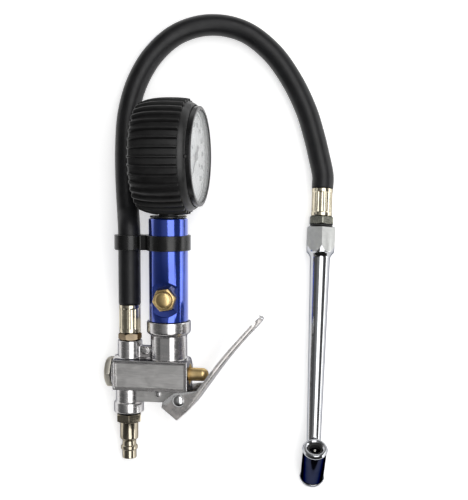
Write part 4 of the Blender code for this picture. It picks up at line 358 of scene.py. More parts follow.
def slab(outline, low, high):
    """Outline in XY, in millimetres, given a thickness along Z by a bottom and a top ring, each
    closed to its middle point."""
    p = np.asarray(outline, float)
    n = len(p)
    centre = p.mean(0)
    ring = np.concatenate((p, p, [centre, centre]))
    height = np.concatenate((np.full(n, low), np.full(n, high), [low, high]))
    points = np.column_stack((ring, height)) * MM
    i = np.arange(n)
    j = (i + 1) % n
    sides = np.stack((i, j, j + n, i + n), -1).tolist()
    floor = np.stack((j, i, np.full(n, 2 * n)), -1).tolist()
    roof = np.stack((i + n, j + n, np.full(n, 2 * n + 1)), -1).tolist()
    return points, sides + floor + roof


def frustum(low_half, high_half, low, high):
    """Solid between two rectangles of unlike size."""
    ring = np.array(rectangle(*low_half) + rectangle(*high_half), float)
    points = np.column_stack((ring, np.repeat((low, high), 4))) * MM
    faces = [(i, (i + 1) % 4, (i + 1) % 4 + 4, i + 4) for i in range(4)]
    return points, faces + [(3, 2, 1, 0), (4, 5, 6, 7)]


def run(points):
    """Length along a line at each of its points."""
    return np.concatenate(([0.0], np.cumsum(np.linalg.norm(np.diff(points, axis=0), axis=1))))


def at_lengths(where, length, points):
    """Points of a line, read off at those lengths along it."""
    return np.column_stack([np.interp(where, length, column) for column in points.T])


def swept(line, radius, sides=40):
    """Tube along a line: circle (r cos a, r sin a) in the plane square to the line at each
    point. Its first axis stays level, and the ends close in a rounded rim to their middle."""
    along_line = unit_rows(np.gradient(line, axis=0))
    side = unit_rows(np.cross(along_line, (0.0, 0.0, 1.0)))
    other = np.cross(side, along_line)
    angle = (2 * np.pi * np.arange(sides) / sides)[None, :, None]
    ring = side[:, None] * np.cos(angle) + other[:, None] * np.sin(angle)
    body = line[:, None] + ring * radius
    lip = radius * 0.06
    head = line[0] + ring[0] * (radius - lip)
    tail = line[-1] + ring[-1] * (radius - lip)
    body[0] += along_line[0] * lip * 0.6
    body[-1] -= along_line[-1] * lip * 0.6
    rows = np.concatenate((np.repeat(line[:1], sides, 0)[None], head[None], body, tail[None],
                           np.repeat(line[-1:], sides, 0)[None]))
    return rows.reshape(-1, 3), grid_faces(len(rows), sides, False)


# ------------------------------------------------------------------ objects
def moved(sheet, matrix):
    """A sheet of points and faces, carried by a matrix."""
    points, faces = sheet
    return points @ matrix[:3, :3].T + matrix[:3, 3], faces


def joined(sheets):
    """Several sheets of points and faces as one."""
    points, faces, count = [], [], 0
    for spots, loops in sheets:
        loops = loops.tolist() if isinstance(loops, np.ndarray) else loops
        faces += [[k + count for k in loop] for loop in loops]
        points.append(spots)
        count += len(spots)
    return np.concatenate(points), faces


def placed(name, data):
    """New object that holds the data, in the scene."""
    holder = bpy.data.objects.new(name, data)
    bpy.context.scene.collection.objects.link(holder)
    return holder


def new_thing(name, sheets, finish=None):
    """Object whose mesh is those sheets, with doubled points merged and faces turned outwards."""
    points, faces = joined(sheets)
    mesh = bpy.data.meshes.new(name)
    mesh.from_pydata(points.tolist(), [], faces)
    shape = bmesh.new()
    shape.from_mesh(mesh)
    bmesh.ops.remove_doubles(shape, verts=shape.verts, dist=2e-7)
    bmesh.ops.dissolve_degenerate(shape, dist=1e-7, edges=shape.edges)
    bmesh.ops.recalc_face_normals(shape, faces=shape.faces)
    shape.to_mesh(mesh)
    shape.free()
    if finish:
        mesh.materials.append(finish)
    return placed(name, mesh)


def read(items, field, width=3, kind=np.float32):
    """One field of all items of a mesh, as an array of rows."""
    values = np.zeros(len(items) * width, kind)
    items.foreach_get(field, values)
    return values.reshape(-1, width)


def smooth(thing, crease):
    """Smooth shading, but sharp along edges over that many degrees."""
    thing.data.shade_smooth()
    thing.data.set_sharp_from_angle(angle=math.radians(crease))


def shaped(thing, *steps):
    """The mesh becomes what modifiers make of it, each given as its kind and its settings."""
    for kind, settings in steps:
        step = thing.modifiers.new(kind.lower(), kind)
        for name, value in settings.items():
            setattr(step, name, value)
    graph = bpy.context.evaluated_depsgraph_get()
    made = bpy.data.meshes.new_from_object(thing.evaluated_get(graph))
    worn = thing.data
    thing.modifiers.clear()
    thing.data = made
    bpy.data.meshes.remove(worn)


def combine(thing, sheets, operation="DIFFERENCE"):
    """Boolean of a piece with each sheet in turn."""
    tools = [new_thing("tool", [sheet]) for sheet in sheets]
    shaped(thing, *[("BOOLEAN", {"operation": operation, "object": tool}) for tool in tools])
    for tool in tools:
        bpy.data.objects.remove(tool, do_unlink=True)


def skin(grain):
    """Modifier that lays an even skin of that grain, in millimetres, round a mesh."""
    return "REMESH", {"mode": "VOXEL", "voxel_size": grain * MM}


def fused(sheets, grain):
    """One closed sheet round all of the sheets, as an even skin of that grain."""
    thing = new_thing("fused", sheets)
    shaped(thing, skin(grain))
    points = read(thing.data.vertices, "co").astype(float)
    corners = read(thing.data.loops, "vertex_index", 1, np.int32).reshape(-1, 4)
    bpy.data.objects.remove(thing, do_unlink=True)
    return points, corners


def moulded(thing, grain, passes):
    """Even skin of that grain, in millimetres, with its edges eased as by a mould."""
    shaped(thing, skin(grain), ("SMOOTH", {"factor": 0.5, "iterations": passes}))


def edge_eased(thing, width, segments=2, angle=30.0):
    """Small rounding, in millimetres, along every edge sharper than the angle."""
    shaped(thing, ("BEVEL", {"width": width * MM, "segments": segments, "limit_method": "ANGLE",
                             "angle_limit": math.radians(angle)}))


def settle(thing, place, body, stands_for, crease=CREASE):
    """Puts a finished mesh in its place and lets it ride on its body."""
    thing.data.transform(Matrix(place.tolist()))
    smooth(thing, crease)
    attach(thing, body)
    if stands_for:
        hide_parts(*stands_for)
    return thing


def add_piece(name, sheets, finish, place, body, stands_for, crease=CREASE):
    """Piece that needs no work on its mesh, put in its place at once."""
    return settle(new_thing(name, sheets, finish), place, body, stands_for, crease)


# ------------------------------------------------------------------ finishes
def fill(tree, node, sockets):
    """Gives each named input its value, or a link where the value is another node's output."""
    for name, value in sockets.items():
        if isinstance(value, bpy.types.NodeSocket):
            tree.links.new(value, node.inputs[name])
        else:
            node.inputs[name].default_value = value


def add_node(tree, kind, sockets=None, **settings):
    """New shader node with those settings and inputs."""
    node = tree.nodes.new("ShaderNode" + kind)
    for name, value in settings.items():
        setattr(node, name, value)
    fill(tree, node, sockets or {})
    return node


class Finish:
    """Builds one procedural material, node by node."""

    def __init__(self, name, colour, metallic, roughness, place=None):
        self.material = bpy.data.materials.new(name)
        self.material.use_nodes = True
        self.tree = self.material.node_tree
        self.shader = self.tree.nodes["Principled BSDF"]
        self.colour = tuple(colour)
        self.set("Base Color", (*self.colour, 1.0))
        self.set("Metallic", metallic)
        self.set("Roughness", roughness)
        self.spot = self.node("TexCoord").outputs["Object"]
        if place is not None:
            inverse = np.linalg.inv(place)
            turn = Matrix(inverse[:3, :3].tolist()).to_euler()
            shift = Vector(inverse[:3, 3].tolist())
            self.spot = self.node("Mapping", {"Rotation": turn, "Location": shift,
                                              "Vector": self.spot}).outputs["Vector"]

    def set(self, socket, value):
        """Value or link for one input of the material's shader."""
        fill(self.tree, self.shader, {socket: value})

    def node(self, kind, sockets=None, **settings):
        """New node in the material."""
        return add_node(self.tree, kind, sockets, **settings)

    def stretched(self, factors):
        """The spot with each of its coordinates multiplied by its factor."""
        return self.node("VectorMath", {0: self.spot, 1: factors}, operation="MULTIPLY").outputs[0]

    def round_the_axis(self):
        """Vector (radius, 0, height) about the piece's own Z, for marks left by a lathe."""
        radius = self.node("VectorMath", {0: self.stretched((1.0, 1.0, 0.0))}, operation="LENGTH")
        parts = self.node("SeparateXYZ", {0: self.spot})
        return self.node("CombineXYZ", {0: radius.outputs["Value"],
                                        2: parts.outputs[2]}).outputs[0]

    def noise(self, grain, vector=None, detail=3.0, distortion=0.0):
        """Noise whose features are about that many millimetres across."""
        return self.node("TexNoise", {"Scale": 1.0 / (grain * MM), "Detail": detail,
                                      "Distortion": distortion,
                                      "Vector": vector or self.spot}).outputs["Fac"]

    def spread(self, value, low, high, start=0.3, end=0.7):
        """The value from start to end becomes low to high."""
        return self.node("MapRange", {"From Min": start, "From Max": end, "To Min": low,
                                      "To Max": high, "Value": value}).outputs["Result"]

    def mixed(self, a, b, factor, **settings):
        """Mix of two colours, which becomes the base colour."""
        mix = self.node("Mix", {"A": a, "B": b, "Factor": factor}, data_type="RGBA", **settings)
        self.set("Base Color", mix.outputs["Result"])
        return mix.outputs["Result"]

    def vary_colour(self, value, darker, lighter, tinted=None):
        """Base colour between two shades of itself, or towards another colour."""
        other = tinted or tuple(min(1.0, c * lighter) for c in self.colour)
        return self.mixed((*[c * darker for c in self.colour], 1.0), (*other, 1.0),
                          self.spread(value, 0.0, 1.0))

    def vary_roughness(self, value, low, high):
        """Roughness that follows the value."""
        self.set("Roughness", self.spread(value, low, high))

    def bump(self, value, depth, strength=1.0, before=None):
        """Relief of that depth in millimetres, over the relief before it."""
        sockets = {"Distance": depth * MM, "Strength": strength, "Height": value}
        if before:
            sockets["Normal"] = before
        normal = self.node("Bump", sockets).outputs["Normal"]
        self.set("Normal", normal)
        return normal

    def worn_edges(self, base, shade, low=0.53, high=0.60):
        """Mix towards another shade where the surface is most convex."""
        geometry = self.node("NewGeometry")
        self.mixed(base, (*shade, 1.0),
                   self.spread(geometry.outputs["Pointiness"], 0.0, 1.0, low, high))


def turned_metal(name, colour, place, roughness=(0.14, 0.24), marks=0.35, depth=0.004,
                 tarnish=0.82):
    """Metal off a lathe: fine marks round its axis, and a slow change of polish."""
    finish = Finish(name, colour, 1.0, roughness[0], place)
    # dark edge tint: painted shade on the reflections near grazing edges
    finish.set("Specular Tint", PAINTED_EDGE_SHADE)
    rings = finish.noise(marks, finish.round_the_axis(), 4.0)
    cloud = finish.noise(7.0, None, 3.0, 0.4)
    finish.vary_colour(cloud, tarnish, 1.06)
    finish.vary_roughness(rings, *roughness)
    finish.bump(rings, depth)
    return finish.material


def plated_metal(name, colour, roughness=(0.06, 0.12), grain=5.0, depth=0.01, metallic=1.0):
    """Polished plate with a faint orange peel and dull patches."""
    finish = Finish(name, colour, metallic, roughness[0])
    # dark edge tint: painted shade on the reflections near grazing edges
    finish.set("Specular Tint", PAINTED_EDGE_SHADE)
    cloud = finish.noise(grain, None, 4.0, 0.3)
    finish.vary_colour(cloud, 0.92, 1.05)
    finish.vary_roughness(finish.noise(grain * 0.5, None, 5.0), *roughness)
    finish.bump(finish.noise(grain * 0.25, None, 2.0), depth)
    return finish.material


def cast_metal(name, colour, place):
    """Plated die casting: flow lines and small pits under the plate, duller on the flats."""
    finish = Finish(name, colour, 1.0, 0.2, place)
    # dark edge tint: painted shade on the reflections near grazing edges
    finish.set("Specular Tint", PAINTED_EDGE_SHADE)
    flow = finish.noise(2.2, finish.stretched((0.22, 1.0, 0.6)), 6.0, 0.5)
    pits = finish.noise(0.9, None, 3.0)
    base = finish.vary_colour(flow, 0.90, 1.04, (0.74, 0.715, 0.71))
    finish.worn_edges(base, (0.88, 0.88, 0.88))
    finish.vary_roughness(flow, 0.16, 0.30)
    finish.bump(pits, 0.02, 0.5, finish.bump(flow, 0.02, 0.5))
    return finish.material


def pressed_steel(name, colour, place):
    """Plated sheet steel, with drawing lines along the sheet and a soft mottle."""
    finish = Finish(name, colour, 0.75, 0.25, place)
    # dark edge tint: painted shade on the reflections near grazing edges
    finish.set("Specular Tint", PAINTED_EDGE_SHADE)
    lines = finish.noise(0.5, finish.stretched((1.0, 0.06, 0.4)), 4.0)
    cloud = finish.noise(4.0, None, 4.0, 0.6)
    base = finish.vary_colour(cloud, 0.80, 1.1, (0.68, 0.64, 0.62))
    finish.worn_edges(base, (0.86, 0.86, 0.86))
    finish.vary_roughness(cloud, 0.2, 0.36)
    finish.bump(cloud, 0.03, 0.4, finish.bump(lines, 0.006, 0.6))
    return finish.material


def rubber(name, colour, roughness=(0.42, 0.6), grain=0.35, depth=0.03, shine=0.5):
    """Moulded rubber with a fine grain, a slow bloom of dust and uneven gloss."""
    finish = Finish(name, colour, 0.0, roughness[0])
    finish.set("Specular IOR Level", shine)
    bloom = finish.noise(9.0, None, 5.0, 0.5)
    fine = finish.noise(grain, None, 3.0)
    finish.vary_colour(bloom, 0.75, 1.5)
    finish.vary_roughness(finish.noise(4.0, None, 4.0), *roughness)
    finish.bump(bloom, depth * 2, 0.3, finish.bump(fine, depth, 0.5))
    return finish.material


def anodised(name, colour, place):
    """Anodised aluminium: a deep colour over fine turning marks, under a clear gloss."""
    finish = Finish(name, colour, 0.85, 0.2, place)
    finish.set("Coat Weight", 1.0)
    finish.set("Coat IOR", 1.8)
    finish.set("Coat Roughness", 0.06)
    rings = finish.noise(0.3, finish.round_the_axis(), 4.0)
    cloud = finish.noise(12.0, None, 3.0)
    finish.vary_colour(cloud, 0.85, 1.15)
    finish.vary_roughness(rings, 0.12, 0.18)
    finish.bump(rings, 0.0015)
    return finish.material


def gloss_paint(name, colour, roughness=(0.18, 0.3), metallic=0.0):
    """Paint or hard plastic with a faint unevenness."""
    finish = Finish(name, colour, metallic, roughness[0])
    cloud = finish.noise(6.0, None, 4.0)
    finish.vary_colour(cloud, 0.85, 1.3)
    finish.vary_roughness(cloud, *roughness)
    finish.bump(finish.noise(0.8, None, 2.0), 0.008, 0.5)
    return finish.material


def clear_lens(name):
    """Clear acrylic, mostly seen by what it reflects."""
    finish = Finish(name, (0.95, 0.97, 0.97), 0.0, 0.03)
    finish.set("Alpha", 0.3)
    finish.set("IOR", 1.49)
    finish.vary_roughness(finish.noise(14.0, None, 3.0), 0.02, 0.05)
    return finish.material


def dull_casting(name, colour, place):
    """Bare floor of the name-plate recess: brushed lines along it over a slow mottle."""
    finish = Finish(name, colour, 0.6, 0.42, place)
    lines = finish.noise(0.45, finish.stretched((0.05, 1.0, 1.0)), 5.0, 0.3)
    cloud = finish.noise(5.0, finish.stretched((0.5, 1.0, 1.0)), 4.0, 0.8)
    base = finish.vary_colour(cloud, 0.86, 1.12)
    shade = finish.spread(lines, 0.86, 1.08)
    grey = finish.node("CombineColor", {0: shade, 1: shade, 2: shade}).outputs[0]
    finish.mixed(base, grey, 1.0, blend_type="MULTIPLY")
    finish.vary_roughness(cloud, 0.36, 0.5)
    finish.bump(lines, 0.01, 0.6)
    return finish.material


def finish_once(name, maker, *arguments):
    """The material of that name, made the first time that it is asked for."""
    return bpy.data.materials.get(name) or maker(name, *arguments)


def brass(place, name):
    """Turned brass with its own name."""
    return finish_once(name, turned_metal, (0.86, 0.64, 0.31), place, (0.32, 0.42))


def seal_rubber():
    """Rubber of every seal."""
    return finish_once("seal rubber", rubber, (0.02, 0.02, 0.02), (0.55, 0.75))


# ------------------------------------------------------------------ operators
class MakeHose(bpy.types.Operator):
    """Free hose, from the body's ferrule through the clip to the chuck's ferrule"""
    bl_idname = "inflator.make_hose"
    bl_label = "Hose"
    bl_options = {"REGISTER", "UNDO"}
    # the same route as the model's, X, Y and height above the table in metres
    route = ((-0.0634, 0.0580, 0.0215), (-0.0653, 0.0820, 0.0165), (-0.0660, 0.1050, 0.0125),
             (-0.0647, 0.1280, 0.0095), (-0.0585, 0.1510, 0.0079), (-0.0465, 0.1710, 0.0078),
             (-0.0290, 0.1855, 0.0078), (-0.0065, 0.1912, 0.0078), (0.0165, 0.1865, 0.0078),
             (0.0357, 0.1720, 0.0078), (0.0495, 0.1530, 0.0078), (0.0601, 0.1310, 0.0082),
             (0.0658, 0.1120, 0.0089), (0.0693, 0.0965, 0.0098))
    body_exit = (HOSE_X, 47.3, 0.0)
    bend_start = (HOSE_X, 98.0, 0.0)
    chuck_exit = (0.0, 0.0, -27.0)

    def execute(self, context):
        sizes = context.scene.inflator.hose
        diameter = sizes.diameter
        line, length = self.centre_line(diameter)
        finish = finish_once("hose rubber", rubber, sizes.rubber, (0.36, 0.46), 0.5, 0.02, 0.35)
        thing = add_piece("hose_tube", [swept(line, diameter / 2)], finish, np.eye(4), "inflator",
                          ["hose"], 60.0)
        ends = [self.ferrule(sizes, "body", BODY @ along("Y", (HOSE_X, 27.8, 0), 10.0)),
                self.ferrule(sizes, "chuck", CHUCK @ along("-Z", (0, 0, -7.5), 12.0))]
        return {"FINISHED"}

    def centre_line(self, diameter):
        """Curve through the route's points. Each span is the cubic
        (1-t)^3 a + 3 t (1-t)^2 (a + la) + 3 t^2 (1-t) (b - lb) + t^3 b, whose handles are a third
        of the span long and point along the chord between the points on either side."""
        start, bend = place_point(BODY, self.body_exit), place_point(BODY, self.bend_start)
        end = place_point(CHUCK, self.chuck_exit)
        run_in = end - CHUCK[:3, 2] * diameter * 0.6
        knots = np.array([start, (start + bend) / 2, bend, *self.route, run_in, end])
        a, b = knots[:-1], knots[1:]
        reach = np.linalg.norm(b - a, axis=1)[:, None] / 3
        leave = unit_rows(b - np.concatenate((knots[:1], knots[:-2]))) * reach
        arrive = unit_rows(np.concatenate((knots[2:], knots[-1:])) - a) * reach
        a, b, leave, arrive = (part[:, None] for part in (a, b, leave, arrive))
        t = np.linspace(0, 1, 40, endpoint=False)[None, :, None]
        fine = ((1 - t) ** 3 * a + 3 * t * (1 - t) ** 2 * (a + leave)
                + 3 * t ** 2 * (1 - t) * (b - arrive) + t ** 3 * b).reshape(-1, 3)
        fine = np.concatenate((fine, knots[-1:]))
        length = run(fine)
        return at_lengths(np.linspace(0.0, length[-1], 260), length, fine), length[-1]

    def ferrule(self, sizes, prefix, place):
        """Crimped sleeve: radius R - d p(a) q(h), where p is a flat-topped wave of eight panels
        and q is 1 over the middle of the sleeve's height and falls to 0 near both ends."""
        outer, bore, length = sizes.ferrule / MM / 2, 4.1, 19.2
        lip, end = outer - 0.9, 1.4
        sides, panels, rows = 192, 8, 60
        line = np.concatenate((
            rounded(((lip, 0.0), (outer, 0.0), (outer, end)), 0.5),
            np.column_stack((np.full(rows, outer), np.linspace(1.5, length - 1.5, rows))),
            rounded(((outer, length - end), (outer, length), (lip, length)), 0.5)))
        angle = 2 * np.pi * np.arange(sides) / sides
        wave = np.abs((angle * panels / (2 * np.pi)) % 1.0 - 0.5) * 2
        panel = 1.0 / (1.0 + np.exp((wave - 0.66) * 34.0))
        near_end = np.minimum(line[:, 1], length - line[:, 1])
        share = 1.0 / (1.0 + np.exp((2.6 - near_end) * 7.0))
        r, h = all_round(np.concatenate(([(bore, 0.0)], line, [(bore, length)])), sides)
        r[1:-1] = line[:, :1] - sizes.crimp / MM * share[:, None] * panel[None, :]
        finish = finish_once(prefix + " ferrule brass", turned_metal, sizes.brass, place,
                             (0.12, 0.22), 0.5, 0.004)
        return add_piece(prefix + "_crimp_ferrule", [carried(r, h, True)], finish, place,
                         "inflator", [prefix + "_ferrule"], 40.0)


def place_point(matrix, spot):
    """World position of a spot given in millimetres in a frame."""
    return matrix[:3, :3] @ (np.array(spot) * MM) + matrix[:3, 3]


class MakeFittings(bpy.types.Operator):
    """Hexagon fittings at both ends of the hose, and the seal at the chuck"""
    bl_idname = "inflator.make_fittings"
    bl_label = "Hose fittings"
    bl_options = {"REGISTER", "UNDO"}

    def execute(self, context):
        for prefix, matrix, colour, flats, height, thread in (
                ("body", BODY @ along("Y", (HOSE_X, 22.8, 0), 84.0), (0.24, 0.19, 0.13),
                 14.0, 4.7, 11.4),
                ("chuck", CHUCK @ along("-Z", (0, 0, -1.6), 90.0), (0.40, 0.40, 0.34),
                 16.0, 5.6, 11.0)):
            finish = finish_once(prefix + " fitting brass", turned_metal, colour, matrix,
                                 (0.16, 0.3), 0.3, 0.006, 0.62)
            nut = new_thing(prefix + "_fitting", [hex_nut(flats, 0.0, height)], finish)
            stem = turned([(0, -thread), (5.0, -thread), (5.0, height / 3), (3.8, height / 3),
                           (3.8, height + 19.2), (0, height + 19.2)], 48)
            combine(nut, [stem], "UNION")
            combine(nut, [rod(2.2, -thread * 2, height + 40, 24)])
            edge_eased(nut, 0.18)
            settle(nut, matrix, "inflator", [prefix + "_hose_fitting"])
        add_piece("chuck_joint_seal", [washer(5.3, 8.0, 0.0, 1.0)], seal_rubber(),
                  CHUCK @ along("-Z", (0, 0, -0.3)), "inflator", ["chuck_washer"])
        return {"FINISHED"}


class MakeBody(bpy.types.Operator):
    """Die-cast valve body with its barrel, bosses, name-plate recess and lever lug"""
    bl_idname = "inflator.make_body"
    bl_label = "Valve body"
    bl_options = {"REGISTER", "UNDO"}
    grain, bore_grain = 0.34, 0.22
    web_top = 18.6
    lug_front = 9.0
    # radius, low end, high end, axis and spot of every bore
    bores = ((6.6, 16.0, 60.0, "-X", (0, 0, 0)), (8.2, 33.0, 60.0, "-X", (0, 0, 0)),
             (3.0, 0.0, 20.0, "-X", (0, 0, 0)), (5.8, -12.0, 30.0, "X", (0, 0, 0)),
             (7.7, 5.5, 30.0, "X", (0, 0, 0)), (3.5, 0.0, 40.0, "Y", (0, 0, 0)),
             (10.7, 24.0, 60.0, "Y", (0, 0, 0)), (2.0, 0.0, 27.5, "-X", (0, 13.5, 0)),
             (5.3, 10.5, 40.0, "Y", (HOSE_X, 0, 0)), (4.0, 0.0, 50.0, "-Y", (INLET_X, 0, 0)),
             (6.8, 16.0, 50.0, "-Y", (INLET_X, 0, 0)), (2.45, -20.0, 20.0, "Z", (*PIVOT, 0)))

    def execute(self, context):
        s = context.scene.inflator.body
        half_w, half_h = s.plate_width / MM / 2, s.plate_height / MM / 2
        thing = new_thing("cast_body", self.solids(s, half_w, half_h),
                          finish_once("cast metal", cast_metal, s.metal, BODY))
        shaped(thing, skin(self.grain))
        slope, floor = 0.8, PLATE_TOP - 1.6
        inner_w, inner_h = half_w - 1.3, half_h - 1.3
        plate = along("Z", (PLATE_X, 0, 0))
        recess = frustum((inner_w - slope, inner_h - slope), (inner_w, inner_h), floor, PLATE_TOP)
        above = slab(rectangle(inner_w, inner_h), PLATE_TOP - 0.001, 15.0)
        flat = slab([(-BOSS, 10.6), (BOSS, 10.6), (BOSS, 27.0), (-BOSS, 27.0)],
                    math.sqrt(BOSS ** 2 - 3.4 ** 2), 25.0)
        holes = [moved(rod(radius, low, high, 64), along(axis, spot))
                 for radius, low, high, axis, spot in self.bores]
        combine(thing, [fused(holes, self.bore_grain), moved(recess, plate), moved(above, plate),
                        flat])
        moulded(thing, self.grain, 4)
        shaped(thing, ("DECIMATE", {"ratio": 0.55}))
        self.dull_recess(thing, inner_w - slope * 0.6, inner_h - slope * 0.6, floor)
        settle(thing, BODY, "inflator", ["valve_body"], 60.0)
        return {"FINISHED"}

    def solids(self, s, half_w, half_h):
        """Barrel, plate block, handle boss, hose boss, inlet boss, web with its knob, and the
        lug with its rivet boss and stop."""
        collar = s.collar / MM / 2
        knob = HOSE_X + HOSE_BOSS + (-HOSE_X - HOSE_BOSS - BOSS) / 2
        web = [(-22.5, 0), (-7.5, 0), (-7.5, self.web_top), (-22.5, self.web_top)]
        lug = np.concatenate(([(-21.6, 0), (-21.6, -18.6), (1.1, -18.6)],
                              arc(PIVOT, 5.27, 230.0, 360.0, 24), [(13.9, -7.2), (13.9, 0)]))
        handle_boss = turned([(0, 0), (BOSS, 0), (BOSS, 27.4), (collar - 1.6, 27.4),
                              (collar, 29.0), (collar, 36.4), (0, 36.4)],
                             ease=(0, 0, 1.2, 0.5, 0.5, 0.5, 0))
        inlet_boss = turned([(0, 0), (8.9, 0), (8.9, 20.0), (10.3, 20.7), (10.3, INLET_END),
                             (0, INLET_END)], ease=(0, 0, 0.8, 0.5, 0.6, 0))
        return [
            moved(rod(s.barrel / MM / 2, -BARREL_END, 14.2, ease=0.5), along("X")),
            moved(slab(rectangle(half_w, half_h), -1.3, PLATE_TOP), along("Z", (PLATE_X, 0, 0))),
            moved(handle_boss, along("Y")),
            moved(rod(HOSE_BOSS, 0, 22.5, ease=0.5), along("Y", (HOSE_X, 0, 0))),
            moved(inlet_boss, along("-Y", (INLET_X, 0, 0))),
            slab(web, -4.0, 4.0),
            moved(rod(2.2, 2.0, 5.2, 48, 0.4), along("Z", (knob, self.web_top - 2.64, 0))),
            slab(lug, -self.lug_front, self.lug_front),
            moved(rod(5.6, -13.1, 13.1), along("Z", (*PIVOT, 0))),
            moved(rod(1.7, 0, 9.7, 48, 0.3), along("Z", (-5.8, -13.1, 0))),
        ]

    def dull_recess(self, thing, half_x, half_y, level):
        """Gives the faces on the recess's floor, and those on the lug's front, their own finish,
        by their middles."""
        mesh = thing.data
        mesh.materials.append(finish_once("recess metal", dull_casting, (0.60, 0.59, 0.58), BODY))
        x, y, z = read(mesh.polygons, "center").T / MM
        dull = (np.abs(x - PLATE_X) < half_x) & (np.abs(y) < half_y) & (np.abs(z - level) < 0.3)
        dull |= ((y < -9.0) & (x > -21.0) & (x < 13.0)
                 & (z > self.lug_front - 0.4) & (z < self.lug_front + 0.3))
        mesh.polygons.foreach_set("material_index", dull.astype(np.int32))


class MakeValveParts(bpy.types.Operator):
    """End plug, gland, plunger and inlet nipple"""
    bl_idname = "inflator.make_valve_parts"
    bl_label = "Plug, plunger and nipple"
    bl_options = {"REGISTER", "UNDO"}
    seal = 0.8

    def execute(self, context):
        s = context.scene.inflator.body
        self.end_plug(s.plug_flats / MM)
        self.plunger(s.plunger / MM / 2)
        self.nipple(s.nipple_flats / MM)
        return {"FINISHED"}

    def end_plug(self, flats):
        """Hexagon with a dished middle and a hollow shank, and the seal under it."""
        low = BARREL_END + GAP * 2 + self.seal
        matrix = BODY @ along("-X")
        pale = finish_once("plug nickel", turned_metal, (0.80, 0.76, 0.66), matrix, (0.36, 0.46),
                           0.4, 0.005, 0.9)
        plug = new_thing("hex_plug", [hex_nut(flats, low, low + 4.4, False, 0.94)], pale)
        combine(plug, [rod(7.9, 33.0, low + 2, 96)], "UNION")
        dish = turned([(0, low + 3.8), (4.0, low + 3.8), (4.6, low + 9), (0, low + 9)], 64)
        combine(plug, [rod(4.5, 20.0, 41.0, 64), dish])
        edge_eased(plug, 0.25)
        settle(plug, matrix, "inflator", ["end_plug"])
        ring = washer(8.2, 9.5, BARREL_END + GAP, BARREL_END + GAP + self.seal)
        add_piece("plug_seal", [ring], seal_rubber(), matrix, "inflator", ["end_plug_seal"])

    def plunger(self, radius):
        """Bush, and the push pin with its rounded end, its flange and its stem."""
        matrix = BODY @ along("X")
        gland = turned([(4.65, 8.0), (6.3, 8.0), (6.3, 5.8), (7.4, 5.8), (7.4, 14.5), (4.65, 14.5)],
                       ease=(0, 0, 0, 0.2, 0.5, 0.3))
        add_piece("plunger_bush", [gland], brass(matrix, "bush brass"), matrix, "inflator",
                  ["plunger_gland"])
        shoulder = 23.1
        pin = turned([(0, -15.1), (1.6, -15.1), (1.6, -4.0), (radius, -4.0), (radius, 3.5),
                      (5.3, 3.5), (5.3, 5.5), (radius, 5.5),
                      *dome(radius, shoulder, radius, 90)[:-1], (0, shoulder + radius)])
        add_piece("plunger_pin", [pin], brass(matrix, "plunger brass"), matrix, "plunger",
                  ["plunger"])

    def nipple(self, flats):
        """Hexagon with the plug-in stem of an air line, and the seal under it."""
        matrix = BODY @ along("-Y", (INLET_X, 0, 0), 75.0)
        low = INLET_END + GAP * 2 + self.seal
        top = low + 5.8
        pale = finish_once("nipple nickel", turned_metal, (0.56, 0.50, 0.39), matrix, (0.1, 0.2),
                           0.35, 0.005, 0.7)
        nipple = new_thing("inlet_plug", [hex_nut(flats, low, top)], pale)
        stem = turned([(0, 16.3), (6.5, 16.3), (6.5, low + 2.9), (6.3, low + 2.9),
                       (6.3, top + 11.7), (4.75, top + 12.9), (4.75, top + 16.2),
                       (5.85, top + 17.1), (5.85, top + 19.2), (4.95, top + 19.8),
                       (4.95, top + 25.6), (0, top + 25.6)],
                      ease=(0, 0, 0, 0, 0.7, 0.7, 0.5, 0.5, 0.4, 0.3, 0.5, 0))
        combine(nipple, [stem], "UNION")
        combine(nipple, [rod(3.6, 0, 90, 64)])
        edge_eased(nipple, 0.15)
        settle(nipple, matrix, "inflator", ["inlet_nipple"])
        ring = washer(6.8, 8.1, INLET_END + GAP, INLET_END + GAP + self.seal)
        add_piece("nipple_seal", [ring], seal_rubber(), matrix, "inflator", ["inlet_seal"])


